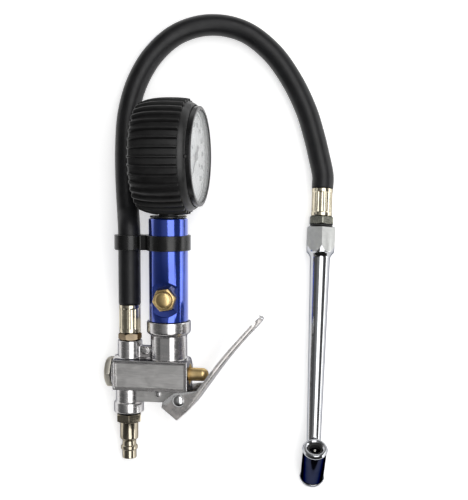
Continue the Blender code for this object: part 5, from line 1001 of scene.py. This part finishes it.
class MakeLever(bpy.types.Operator):
    """Pressed-steel trigger lever with its two cheeks, and the rivet that it turns on"""
    bl_idname = "inflator.make_lever"
    bl_label = "Lever"
    bl_options = {"REGISTER", "UNDO"}
    heel, lower, upper, tip = ((8.7, -29.3), (17.5, -21.6), (41.3, 11.7), (65.4, 39.3))
    corner, shoulder, top = (-1.8, -20.4), (-1.0, -17.0), (6.6, -10.6)
    tip_round = 8.0

    def execute(self, context):
        s = context.scene.inflator.lever
        finish = finish_once("pressed steel", pressed_steel, s.metal, LEVER)
        thing = new_thing("trigger_lever", [self.channel(s)], finish)
        shaped(thing, ("SOLIDIFY", {"thickness": s.sheet, "offset": -1.0,
                                    "use_even_offset": True}))
        combine(thing, [rod(2.45, -40.0, 40.0, 48)])
        edge_eased(thing, 0.28, 3, 40.0)
        settle(thing, LEVER, "lever", ["lever"], 40.0)
        add_piece("lever_grip", self.ridges(s), finish, LEVER, "lever", (), 50.0)

        head, rise = s.half_width / MM + GAP, 2.2
        side = dome(4.2, head, rise, 88, 14)
        profile = [(0, -head - rise), *[(r, -h) for r, h in side[::-1]], (2.3, -head),
                   (2.3, head), *side, (0, head + rise)]
        steel = finish_once("rivet steel", plated_metal, (0.8, 0.8, 0.8), (0.16, 0.24))
        add_piece("lever_rivet", [turned(profile, 96)], steel, LEVER, "inflator", ["lever_pin"])
        return {"FINISHED"}

    def outer_line(self):
        """Side view of the arm's outer face, bends eased, with the share of its length at each
        point and the unit vector to its inner face."""
        points = np.array((self.heel, self.lower, self.upper, self.tip)) - PIVOT
        line = rounded(points, (0, 4.0, 14.0, 0), steps=14)
        length = run(line)
        near_tip = self.tip_round * (1 - np.sin(np.radians(np.linspace(0, 90, 16))))
        fine = np.unique(np.concatenate((np.linspace(0, length[-1], 110), length,
                                         length[-1] - near_tip)))
        line = at_lengths(fine, length, line)
        direction = unit_rows(np.gradient(line, axis=0))
        return line, fine, np.column_stack((-direction[:, 1], direction[:, 0]))

    def free_edge(self, line, length, inward, depth):
        """Where the folded side ends: round the cheek's corners, and then a set depth."""
        meet = np.interp(self.top[1] - PIVOT[1], line[:, 1], length)
        arm = line + inward * depth[:, None]
        corners = np.array((self.corner, self.shoulder, self.top, (0, 0))) - PIVOT
        corners[3] = at_lengths(meet, length, arm)[0]
        cheek = at_lengths(length, np.array((0.0, 4.0, meet * 0.45, meet)), corners)
        return np.where((length < meet)[:, None], cheek, arm)

    def channel(self, s):
        """Section carried along the arm: folded side, quarter bend of radius b, flat web, quarter
        bend, folded side. At a share of the bend f the point is P + n b (1 - sin f) at width
        w - b (1 - cos f), where n points inwards and w is the half width there."""
        line, length, inward = self.outer_line()
        base, narrow, bend = s.half_width / MM, s.tip_half_width / MM, s.bend / MM
        start = np.interp(self.upper[1] - PIVOT[1], line[:, 1], length)
        left = np.clip((length[-1] - length) / self.tip_round, 0, 1)
        half = np.interp(length, (start * 0.8, length[-1] - self.tip_round), (base, narrow))
        half -= narrow * 0.7 * (1 - np.sqrt(np.clip(1 - (1 - left) ** 2, 0, 1)))
        depth = np.interp(length, (start, length[-1] - 6.0, length[-1]), (3.7, 3.5, bend + 0.3))
        edge = self.free_edge(line, length, inward, depth)
        quarter = np.linspace(0, np.pi / 2, 7)
        share = np.linspace(0, 1, 7)[:-1]
        start_bend = line + inward * bend
        side = edge[:, None] + (start_bend - edge)[:, None] * share[None, :, None]
        turn = line[:, None] + inward[:, None] * (bend * (1 - np.sin(quarter)))[None, :, None]
        web = np.repeat(line[:, None], 9, 1)
        across = np.linspace(1, -1, 11)[1:-1]
        widths = np.concatenate((np.repeat(half[:, None], 6, 1),
                                 half[:, None] - bend * (1 - np.cos(quarter))[None, :],
                                 (half - bend)[:, None] * across[None, :]), 1)
        widths = np.concatenate((widths, -widths[:, :13][:, ::-1]), 1)
        plan = np.concatenate((side, turn, web, turn[:, ::-1], side[:, ::-1]), 1)
        points = np.concatenate((plan, widths[..., None]), -1)
        faces = grid_faces(*points.shape[:2], False, False)[:, ::-1]
        return points.reshape(-1, 3) * MM, faces

    def ridges(self, s):
        """Six low ridges across the outside of the tip, half rounds of radius 0.75 sunk by 0.3."""
        line, length, inward = self.outer_line()
        half = s.tip_half_width / MM * 0.78
        count = 16
        angle = np.linspace(0, 2 * np.pi, count, endpoint=False)[:, None]
        shrink = np.array((0.3, 1.0, 1.0, 0.3))
        sheets = []
        for number in range(6):
            place = length[-1] - 2.4 - 1.8 * number
            spot, normal = (at_lengths(place, length, part)[0] for part in (line, inward))
            direction = np.array((normal[1], -normal[0]))
            width = half - max(0.0, 3.0 - number) * 0.9
            centre = spot + normal * 0.35
            ring = centre + np.cos(angle) * direction * 0.62 + np.sin(angle) * normal * 0.75
            w = np.array((-width - 0.4, -width, width, width + 0.4))
            rows = centre + (ring - centre)[None] * shrink[:, None, None]
            points = np.concatenate((rows, np.repeat(w[:, None, None], count, 1)), -1)
            caps = np.concatenate((np.repeat([[*centre, w[0]]], count, 0)[None], points,
                                   np.repeat([[*centre, w[-1]]], count, 0)[None]))
            sheets.append((caps.reshape(-1, 3) * MM, grid_faces(6, count, False)))
        return sheets


class MakeHandle(bpy.types.Operator):
    """Blue handle with its spot face, the gauge adaptor and the hose clip"""
    bl_idname = "inflator.make_handle"
    bl_label = "Handle"
    bl_options = {"REGISTER", "UNDO"}

    def execute(self, context):
        s = context.scene.inflator.handle
        matrix = BODY @ along("Y")
        outer, foot, top = s.diameter / MM / 2, HANDLE_FOOT, HANDLE_TOP
        profile = [(7.0, foot - 10.9), (10.4, foot - 10.9), (10.4, foot), (outer, foot),
                   (outer, top), (10.2, top), (10.2, top - 12.0), (7.0, top - 12.0)]
        tube = new_thing("blue_handle", [turned(profile, 160, (0, 0, 0, 0.3, 1.8, 0.3, 0, 0))],
                         finish_once("blue anodised", anodised, s.colour, matrix))
        spot = np.linalg.inv(along("Y")) @ along("Z", (0, RELEASE_HEIGHT, 0))
        combine(tube, [moved(rod(12.0, outer - SPOT_FACE, 40.0, 160), spot),
                       moved(rod(5.2, 0, 40.0, 96), spot)])
        edge_eased(tube, 0.15)
        settle(tube, matrix, "inflator", ["handle_tube"])

        # near-black adaptor: painted shade for the shadowed gap between the handle's top and the
        # boot
        black = finish_once("black adaptor", gloss_paint, (0.02, 0.02, 0.02), (0.22, 0.35), 0.3)
        ring = turned([(3.5, 94.9), (9.9, 94.9), (9.9, 106.9), (12.5, 106.9), (12.5, 108.1),
                       (6.8, 108.1), (6.8, 98.1), (3.5, 98.1)],
                      ease=(0, 0, 0, 0.4, 0.5, 0.2, 0, 0))
        add_piece("gauge_plug", [ring], black, matrix, "inflator", ["gauge_adaptor"])
        self.clip(s.clip_width / MM / 2, outer)
        return {"FINISHED"}

    def clip(self, half, outer):
        """Clip with one eye round the handle and one round the hose, and a bridge."""
        grain = 0.3
        hose = along("Z", (HOSE_X, 0, 0))
        solids = [rod(outer + 1.7, -half, half, 160), moved(rod(10.2, -half, half), hose),
                  moved(slab(rectangle(13.7, 5.0), -half, half), along("Z", (-13.7, 0, 0)))]
        plastic = finish_once("clip plastic", gloss_paint, (0.006, 0.006, 0.006), (0.2, 0.32))
        clip = new_thing("eight_clip", solids, plastic)
        shaped(clip, skin(grain))
        combine(clip, [rod(outer + GAP, -20, 20, 160), moved(rod(7.9, -20, 20), hose)])
        moulded(clip, grain, 5)
        settle(clip, BODY @ along("Y", (0, CLIP_HEIGHT, 0)), "inflator", ["hose_clip"],
               60.0)


class MakeReleaseValve(bpy.types.Operator):
    """Brass release valve: hexagon body and domed button"""
    bl_idname = "inflator.make_release_valve"
    bl_label = "Release valve"
    bl_options = {"REGISTER", "UNDO"}

    def execute(self, context):
        s = context.scene.inflator.handle
        flat = s.diameter / MM / 2 - SPOT_FACE + GAP
        floor = flat + 1.3
        matrix = BODY @ along("Z", (0, RELEASE_HEIGHT, 0), 70.0)
        metal = brass(matrix, "release valve brass")
        hexagon = hex_nut(s.release_flats / MM, flat, flat + 4.1, False, 0.93)
        nut = new_thing("release_hexagon", [hexagon], metal)
        combine(nut, [rod(4.9, flat - 3.0, flat + 0.6, 96)], "UNION")
        combine(nut, [rod(6.1, floor, 40.0, 96), rod(1.7, 0.0, 40.0, 48)])
        edge_eased(nut, 0.2)
        settle(nut, matrix, "inflator", ["bleed_body"])

        skirt = floor + 1.7
        shoulder = skirt + 1.9
        inner = shoulder + 0.9
        stem_end = flat - 5.0 - GAP * 3
        profile = [(0, stem_end), (1.4, stem_end), (1.4, inner), (4.6, inner), (4.6, skirt),
                   (5.8, skirt), *dome(5.8, shoulder, 2.3, 88, 18, 0.9), (0, shoulder + 2.3)]
        add_piece("release_button_cap", [turned(profile, 96)], metal, matrix, "release_button",
                  ["bleed_button"])
        return {"FINISHED"}


class MakeGauge(bpy.types.Operator):
    """Ribbed boot, bezel, lens, dial with its scale, and pointer"""
    bl_idname = "inflator.make_gauge"
    bl_label = "Gauge"
    bl_options = {"REGISTER", "UNDO"}
    # radius and place along the axis, in millimetres: the boot's flat back, its corner and outer
    # shape over the ribs, the plain band down to its lip, and the pocket for the case
    back = ((0, -18.7), (8.0, -18.7), (8.6, -19.1), (22.0, -19.1), (22.6, -18.5), (25.4, -18.5),
            (26.0, -19.1), (32.4, -19.1))
    corner = ((34.2, -19.1), (35.2, -18.8), (35.9, -18.5))
    outline = ((36.4, -18.1), (38.2, -13.0), (39.4, -4.0), (39.4, 6.0), (38.7, 14.6))
    band = ((36.75, 14.75), (36.7, 15.2), (36.3, 16.6), (35.6, 18.0), (35.1, 18.8), (34.75, 19.1),
            (34.6, 19.35), (34.45, 19.55), (34.2, 19.6), (33.95, 19.5))
    pocket = ((33.9, 19.3), (33.9, 17.2), (32.9, 17.2), (32.9, -15.3), (0.0, -15.3))

    def execute(self, context):
        s = context.scene.inflator.gauge
        mould = finish_once("boot rubber", rubber, s.rubber, (0.34, 0.5), 0.5, 0.03, 0.6)
        boot = new_thing("ribbed_boot", [self.boot(s)], mould)
        combine(boot, [moved(rod(7.1, 0, 80.0, 64), along("-X"))])
        tab = turned([(0, -1.2), (0.8, -1.1), (1.25, -0.5), (1.3, 0.4), (0.9, 1.0), (0, 1.1)], 24)
        combine(boot, [moved(tab, along("Z", (0, 34.3, 19.5)))], "UNION")
        settle(boot, GAUGE, "inflator", ["gauge_boot"], 45.0)

        black = finish_once("bezel black", gloss_paint, (0.035, 0.035, 0.036), (0.24, 0.34), 0.8)
        outer, opening = s.bezel / MM / 2, s.opening / MM / 2
        bezel = turned([(outer - 0.8, 17.5), (outer, 17.5), (outer, 22.9), (opening, 22.9),
                        (opening, 22.4), (outer - 0.8, 22.4)],
                       192, (0.2, 0.3, 0.9, 0.2, 0.15, 0), 8)
        add_piece("bezel_ring", [bezel], black, GAUGE, "inflator", ["bezel"])
        add_piece("clear_window", [rod(outer - 1.1, 20.7, 22.1, 192, 0.15)],
                  finish_once("clear window", clear_lens), GAUGE, "inflator", ["lens"])
        self.dial(s)
        return {"FINISHED"}

    def boot(self, s):
        """Cup whose radius is C(h) on a rib's crest and G(h) in a groove, C less the rib's height
        but never under the back's radius. Between them it follows a smooth step of the angle. The
        ribs stop at the front, and a plain band slopes from there to the lip."""
        per_rib = 16
        sides = s.ribs * per_rib
        corner, outline = np.array(self.corner), np.array(self.outline)
        place = np.concatenate((corner[:, 1], np.linspace(outline[0, 1], outline[-1, 1], 40)))
        over_ribs = np.polyval(np.polyfit(outline[:, 1], outline[:, 0], 4), place[3:])
        crest = np.concatenate((corner[:, 0], over_ribs))
        groove = np.maximum(crest - s.rib_height / MM, 32.6)
        phase = np.abs((np.arange(sides) / per_rib) % 1.0 - 0.5) * 2
        share = np.clip((0.40 - phase) / 0.22, 0, 1)
        share = share * share * (3 - 2 * share)
        ribbed_r = groove[:, None] + (crest - groove)[:, None] * share[None, :]
        ribbed_h = np.repeat(place[:, None], sides, 1)
        grids = (all_round(rounded(self.back, 0.5), sides), (ribbed_r, ribbed_h),
                 (np.minimum(ribbed_r[-1:], 38.0), ribbed_h[-1:] + 0.12),
                 all_round(self.band, sides), all_round(self.pocket, sides))
        return carried(*(np.concatenate(rows) for rows in zip(*grids)), False)

    def dial(self, s):
        """Disc with a printed scale: long and short strokes on a circle, figures, and the
        pointer over them."""
        thing = new_thing("dial_plate", [washer(1.7, 31.1, 18.2, DIAL_TOP, 192, 0.1)],
                          finish_once("dial white", gloss_paint, s.dial, (0.3, 0.4)))
        combine(thing, [moved(rod(0.75, 10, 30, 24),
                              along("Z", (12 * math.cos(a), 12 * math.sin(a), 0)))
                        for a in (math.radians(60), math.radians(240))])
        settle(thing, GAUGE, "inflator", ["dial"])

        black = finish_once("scale black", gloss_paint, (0.015, 0.015, 0.015), (0.4, 0.5))
        ink_top, rim, steps = DIAL_TOP + 0.12, 28.6, 44
        sheets = []
        for number in range(steps + 1):
            inner, half = (25.2, 0.32) if number % 4 == 0 else (27.0, 0.16)
            stroke = slab([(inner, -half), (rim, -half), (rim, half), (inner, half)], DIAL_TOP,
                          ink_top)
            turn = DIAL_START - number * DIAL_SWEEP / steps
            sheets.append(moved(stroke, along("Z", turn=turn)))
        sheets.append(washer(rim, 29.0, DIAL_TOP, ink_top, 160, 0.0))
        add_piece("dial_strokes", sheets, black, GAUGE, "inflator", ())
        add_piece("dial_figures", self.figures(), black, GAUGE, "inflator", ())
        side = [(23.5, 0.18), (4.0, 0.75), (1.5, 2.2), (-1.5, 2.2), (-4.0, 1.1), (-9.0, 1.7),
                (-9.6, 1.2)]
        blade = rounded(side + [(x, -y) for x, y in side[::-1]], 0.5, True, 4)
        hub = turned([(0, 19.3), (3.0, 19.3), (3.0, 20.0), (2.4, 20.35), (0, 20.4)], 64, 0.2)
        pointer = moved(slab(blade, 19.35, 19.75), along("Z", turn=DIAL_START))
        add_piece("gauge_pointer", [pointer, hub], black, GAUGE, "pointer", ["pointer"])

    def figures(self):
        """The numbers 0 to 220 in steps of 20, upright on the dial, as thin raised print."""
        reach, half_ink, steps = 21.3 * MM, 0.06, 11
        sheets = []
        for number in range(steps + 1):
            angle = math.radians(DIAL_START - number * DIAL_SWEEP / steps)
            text = bpy.data.curves.new("figure", "FONT")
            text.body = str(number * 20)
            text.size = 4.6 * MM
            text.align_x = text.align_y = "CENTER"
            text.extrude = 0.05 * MM
            holder = placed("figure", text)
            bpy.context.view_layer.update()
            graph = bpy.context.evaluated_depsgraph_get()
            print_mesh = bpy.data.meshes.new_from_object(holder.evaluated_get(graph))
            across, up, height = read(print_mesh.vertices, "co").astype(float).T
            points = np.column_stack((reach * math.cos(angle) + up,
                                      reach * math.sin(angle) - across,
                                      height + (DIAL_TOP + half_ink) * MM))
            sheets.append((points, [list(face.vertices) for face in print_mesh.polygons]))
            bpy.data.objects.remove(holder, do_unlink=True)
            bpy.data.meshes.remove(print_mesh)
        return sheets


class MakeChuck(bpy.types.Operator):
    """Chuck handle, twin-ended head, end rings, seals and the pin between them"""
    bl_idname = "inflator.make_chuck"
    bl_label = "Chuck"
    bl_options = {"REGISTER", "UNDO"}
    half_head = 16.25
    reach = 154.5
    lean = -42.5

    def execute(self, context):
        s = context.scene.inflator.chuck
        self.handle(s)
        self.head(s)
        return {"FINISHED"}

    def handle(self, s):
        """Hexagon cut back by a cone: at each angle its side runs to where the cone of 31 degrees
        meets it, follows the cone to the pipe, and the pipe then tapers to the head."""
        flats, pipe, end = s.flats / MM, s.pipe / MM / 2, s.pipe_end / MM / 2
        sides = 144
        side = np.roll(hex_radius(flats, sides), sides // 12)
        cone_start, cone_flat, pipe_start, spigot = 13.4, 17.8, 22.6, 4.3
        corner = flats / math.sqrt(3)
        slope = (corner - flats / 2) / (cone_flat - cone_start)
        meet = cone_start + (corner - side) / slope
        pipe_end = self.reach - 6.0
        rows = [(0.0, 0.0), (side - 0.9, 0.0), (side, 0.55), (side, meet)]
        rows += [(side + (flats / 2 - side) * t, meet + (cone_flat - meet) * t)
                 for t in np.linspace(0, 1, 8)[1:]]
        rows += rounded([(flats / 2, cone_flat), (flats / 2 - 0.9, 18.7), (pipe + 0.5, 20.4),
                         (pipe, 21.6), (pipe, pipe_start)], 0.7)[1:].tolist()
        rows += [(pipe + (end - pipe) * t, pipe_start + (pipe_end - pipe_start) * t)
                 for t in np.linspace(0, 1, 24)[1:]]
        rows += [(spigot, pipe_end + 0.1), (spigot, self.reach), (0.0, self.reach)]
        grids = (np.array([np.broadcast_to(row[k], sides) for row in rows]) for k in (0, 1))
        satin = finish_once("chuck chrome", turned_metal, s.chrome, CHUCK, (0.07, 0.13), 0.8,
                            0.003, 0.95)
        dull = finish_once("hexagon satin", plated_metal, (0.72, 0.73, 0.71), (0.3, 0.42), 3.0,
                           0.02, 0.5)
        thing = new_thing("chuck_pipe", [carried(*grids, False)], satin)
        combine(thing, [rod(2.0, -30, 170, 32), rod(5.3, -30, 11.0, 64)])
        edge_eased(thing, 0.4, 3, 24.0)
        mesh = thing.data
        mesh.materials.append(dull)
        centre, normal = read(mesh.polygons, "center"), read(mesh.polygons, "normal")
        radial = np.linalg.norm(centre[:, :2], axis=1)
        outward = (normal[:, :2] * centre[:, :2]).sum(1) / np.maximum(radial, 1e-9)
        flat = (np.abs(normal[:, 2]) < 0.05) & (outward > 0.5) & (centre[:, 2] < 18.2 * MM)
        mesh.polygons.foreach_set("material_index", flat.astype(np.int32))
        settle(thing, CHUCK, "inflator", ["chuck_handle"], 28.0)

    def head(self, s):
        """Barrel with a mouth at each end, square to its pipe's lean, and what it holds."""
        body, ring, half = s.head / MM / 2, s.ring / MM / 2, self.half_head
        shoulder, spigot_end, seal_floor = half - 3.3, half - 1.2, half - 1.2 - 4.3
        # near-black navy base colour of the chrome head: painted dark reflection, standing in for
        # the shaded surroundings that the chrome mirrors
        chrome_painted_dark = finish_once("head chrome", plated_metal, (0.030, 0.034, 0.062), (0.04, 0.09), 6.0,
                           0.006)
        profile = [(1.9, 7.6), (4.4, 7.6), (4.4, -7.6), (5.6, -7.6), (5.6, -spigot_end),
                   (6.7, -spigot_end), (6.7, -shoulder), (body, -shoulder), (body, shoulder),
                   (6.7, shoulder), (6.7, spigot_end), (5.6, spigot_end), (5.6, seal_floor),
                   (1.9, seal_floor)]
        eases = (0, 0, 0, 0, 0, 0, 0, 0.5, 0.5, 0, 0, 0, 0, 0)
        head = new_thing("twin_head", [turned(profile, 160, eases)], chrome_painted_dark)
        c, t = math.cos(math.radians(self.lean)), math.sin(math.radians(self.lean))
        pipe_side = frame_of((0, 0, -HEAD_JOINT), (1, 0, 0), (0, c, t), (0, -t, c))
        combine(head, [moved(rod(4.6, 11.4, 60, 96), pipe_side),
                       moved(rod(1.6, 0, 40, 32), pipe_side)])
        settle(head, HEAD, "inflator", ["chuck_head"])

        chrome = finish_once("chrome plate", plated_metal, s.chrome, (0.05, 0.1), 6.0, 0.008)
        low = half - 3.0
        cap = turned([(7.0, low), (ring - 0.1, low), (ring, low + 0.9), (ring - 0.75, half - 0.35),
                      (ring - 1.05, half), (6.1, half), (5.2, half - 0.8), (5.2, half - 0.9),
                      (7.0, half - 0.9)], 160, (0, 0.3, 0.25, 0.3, 0.3, 0.2, 0.1, 0, 0))
        seal = turned([(3.9, seal_floor + 0.3), (5.3, seal_floor + 0.3), (5.3, spigot_end),
                       (4.4, spigot_end), (3.9, spigot_end - 0.6)], 96, 0.25)
        for name, axis in (("upper", "Z"), ("lower", "-Z")):
            place = HEAD @ along(axis)
            add_piece("head_ring_" + name, [cap], chrome, place, "inflator",
                      ["chuck_ring_" + name])
            add_piece("mouth_seal_" + name, [seal], seal_rubber(), place, "inflator",
                      ["chuck_seal_" + name])
        pin = turned([(0, -13.2), (0.8, -13.2), (1.3, -12.4), (1.3, -1.2), (3.4, -1.2), (3.4, 1.2),
                      (1.3, 1.2), (1.3, 12.4), (0.8, 13.2), (0, 13.2)], 48, 0.3)
        add_piece("head_pin", [pin],
                  finish_once("pin nickel", plated_metal, (0.82, 0.8, 0.74), (0.08, 0.16)),
                  HEAD, "chuck_pin", ["chuck_pin"])


class FinishInnerPieces(bpy.types.Operator):
    """Finishes for the pieces inside, whose solids stay as they are"""
    bl_idname = "inflator.finish_inner_pieces"
    bl_label = "Inner pieces"
    bl_options = {"REGISTER", "UNDO"}
    groups = {
        "brass": ("poppet", "bleed_retainer", "bourdon_tube", "movement_back_plate",
                  "movement_front_plate", "sector_gear", "pinion_arbor", "chuck_seat"),
        "rubber": ("gland_seal", "poppet_seal", "handle_seal", "bleed_seal", "gauge_seal",
                   "lens_gasket"),
        "steel": ("valve_spring", "bleed_spring", "hairspring", "pin_spring_upper",
                  "pin_spring_lower", "dial_screw_1", "dial_screw_2", "movement_screw_1",
                  "movement_screw_2", "link"),
        # gauge_socket's stem takes the black too: painted shade for the shadowed gap between the
        # adaptor and the boot
        "black": ("gauge_case", "gauge_socket"),
    }
    # each spring, the body that its near end goes with, and the piece on that body
    springs = (("valve_spring", "plunger", "poppet"),
               ("bleed_spring", "release_button", "bleed_button"),
               ("pin_spring_upper", "chuck_pin", "chuck_pin"),
               ("pin_spring_lower", "chuck_pin", "chuck_pin"))

    def execute(self, context):
        finishes = {
            "brass": brass(GAUGE, "movement brass"),
            "rubber": seal_rubber(),
            "steel": finish_once("drawn steel", plated_metal, (0.6, 0.6, 0.6), (0.15, 0.25)),
            "black": finish_once("case black", gloss_paint, (0.02, 0.02, 0.02), (0.3, 0.4), 0.4),
        }
        for group, names in self.groups.items():
            for name in names:
                materials = frame["nodes"][name].data.materials
                materials.clear()
                materials.append(finishes[group])
        for name, body, mover in self.springs:
            self.coil(name, body, mover)
        return {"FINISHED"}

    def coil(self, name, body, mover):
        """Smooth-shaded copy of a spring in its place, standing in for the model's piece, which is
        hidden.
        """
        node = frame["nodes"][name]
        mesh = node.data.copy()
        mesh.transform(node.matrix_world)
        shape = bmesh.new()
        shape.from_mesh(mesh)
        bmesh.ops.remove_doubles(shape, verts=shape.verts, dist=1e-7)
        shape.to_mesh(mesh)
        shape.free()
        thing = placed(name + "_coil", mesh)
        smooth(thing, CREASE)
        centre = middle(name)
        direction = unit(middle(mover) - centre)
        reach = (read(mesh.vertices, "co") - centre) @ direction
        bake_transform(thing)
        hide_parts(name)


class SetStage(bpy.types.Operator):
    """Pale floor, soft light and the camera above the table"""
    bl_idname = "inflator.set_stage"
    bl_label = "Stage"
    bl_options = {"REGISTER", "UNDO"}
    aim = (0.0095, 0.0320, 0.0)
    distance = 0.736
    lean = math.radians(3.0)
    sensor = 36.0
    field = 1040.0 / 500.0
    # name, centre, lean about Y, width, depth and brightness of the face of each softbox
    boxes = (("overhead softbox", (0.30, 0.12, 1.0), 0.0, 0.72, 2.2, 2.3),
             ("side strip", (0.75, 0.08, 0.14), 1.40, 0.22, 1.2, 2.4))

    def execute(self, context):
        scene = context.scene
        scene.view_settings.view_transform = "Standard"
        self.floor()
        self.camera(scene)
        self.lamps()
        self.sky(scene)
        return {"FINISHED"}

    def floor(self):
        """Flat floor just under the table's level, which glows a little where it is seen."""
        mesh = bpy.data.meshes.new("floor")
        mesh.from_pydata([(x, y, 0.0) for x, y in rectangle(6.0, 6.0)], [], [(0, 1, 2, 3)])
        floor = placed("floor", mesh)
        floor.location.z = -0.0002
        material = bpy.data.materials.new("pale floor")
        material.use_nodes = True
        tree = material.node_tree
        path = add_node(tree, "LightPath")
        seen = path.outputs["Is Camera Ray"]
        for ray in ("Is Glossy Ray", "Is Transmission Ray"):
            both = add_node(tree, "Math", {0: seen, 1: path.outputs[ray]}, operation="MAXIMUM")
            seen = both.outputs[0]
        glow = add_node(tree, "Math", {0: seen, 1: 0.50}, operation="MULTIPLY")
        fill(tree, tree.nodes["Principled BSDF"], {
            "Base Color": (0.90, 0.90, 0.90, 1.0), "Roughness": 0.9, "Specular IOR Level": 0.0,
            "Emission Color": (1.0, 1.0, 1.0, 1.0), "Emission Strength": glow.outputs[0]})
        mesh.materials.append(material)

    def camera(self, scene):
        """Camera over the table, leant back a little from straight down."""
        lens = bpy.data.cameras.new("camera")
        lens.sensor_fit = "VERTICAL"
        lens.sensor_height = lens.sensor_width = self.sensor
        lens.lens = self.field * self.sensor
        lens.clip_start, lens.clip_end = 0.01, 20.0
        holder = placed("camera", lens)
        back = Vector((0, -math.sin(self.lean), math.cos(self.lean)))
        holder.location = Vector(self.aim) + self.distance * back
        holder.rotation_euler = Euler((self.lean, 0, 0))
        scene.camera = holder

    def lamps(self):
        """Softboxes that the camera doesn't see."""
        for name, spot, lean, width, depth, face in self.boxes:
            lamp = bpy.data.lights.new(name, "AREA")
            lamp.shape = "RECTANGLE"
            lamp.size, lamp.size_y = width, depth
            lamp.energy = face * math.pi * width * depth
            holder = placed(name, lamp)
            holder.location = spot
            holder.rotation_euler = (0, lean, 0)
            holder.visible_camera = False

    def sky(self, scene):
        """Dim sky, a little brighter overhead and at the horizon, and darker towards the front
        edge of the table. The camera itself sees plain white."""
        scene.world = bpy.data.worlds.new("studio")
        scene.world.use_nodes = True
        tree = scene.world.node_tree
        tree.nodes.clear()
        coordinates = add_node(tree, "TexCoord")
        parts = add_node(tree, "SeparateXYZ", {0: coordinates.outputs["Generated"]})
        rise = add_node(tree, "ValToRGB", {"Fac": parts.outputs[2]})
        ramp = rise.color_ramp.elements
        for element, position, level in ((ramp[0], 0.0, 0.45), (ramp[1], 1.0, 0.36)):
            element.position, element.color = position, (level, level, level, 1.0)
        for position, level in ((0.12, 0.18), (0.42, 0.12), (0.7, 0.10)):
            ramp.new(position).color = (level, level, level, 1.0)
        front = add_node(tree, "MapRange", {"From Min": -0.35, "From Max": -0.8, "To Min": 1.0,
                                            "To Max": 0.12, "Value": parts.outputs[1]})
        shade = add_node(tree, "Mix", {"Factor": 1.0, "A": rise.outputs["Color"],
                                       "B": front.outputs["Result"]},
                         data_type="RGBA", blend_type="MULTIPLY")
        lit = add_node(tree, "Background", {"Color": shade.outputs["Result"]})
        seen = add_node(tree, "Background", {"Color": (1.0, 1.0, 1.0, 1.0)})
        path = add_node(tree, "LightPath")
        mix = add_node(tree, "MixShader", {"Fac": path.outputs["Is Camera Ray"],
                                           1: lit.outputs[0], 2: seen.outputs[0]})
        add_node(tree, "OutputWorld", {"Surface": mix.outputs[0]})


class InflatorPanel(bpy.types.Panel):
    """Sidebar panel with the steps and the sizes"""
    bl_idname = "VIEW3D_PT_inflator"
    bl_label = "Tyre inflator"
    bl_space_type = "VIEW_3D"
    bl_region_type = "UI"
    bl_category = "Inflator"

    def draw(self, context):
        sizes = context.scene.inflator
        for step in STEPS:
            self.layout.operator(step.bl_idname)
        for group in ("body", "lever", "handle", "gauge", "hose", "chuck"):
            box = self.layout.box()
            box.label(text=group.capitalize())
            values = getattr(sizes, group)
            for name in values.__annotations__:
                box.prop(values, name)


STEPS = (SetStage, MakeHose, MakeFittings, MakeBody, MakeValveParts, MakeLever, MakeHandle,
         MakeReleaseValve, MakeGauge, MakeChuck, FinishInnerPieces)
CLASSES = (BodySizes, LeverSizes, HandleSizes, GaugeSizes, HoseSizes, ChuckSizes, InflatorSizes,
           *STEPS, InflatorPanel)


def register():
    for item in CLASSES:
        bpy.utils.register_class(item)
    bpy.types.Scene.inflator = PointerProperty(type=InflatorSizes)


def unregister():
    del bpy.types.Scene.inflator
    for item in reversed(CLASSES):
        bpy.utils.unregister_class(item)


def main():
    register()
    for step in STEPS:
        group, name = step.bl_idname.split(".")
        getattr(getattr(bpy.ops, group), name)()


if __name__ == "__main__":
    main()
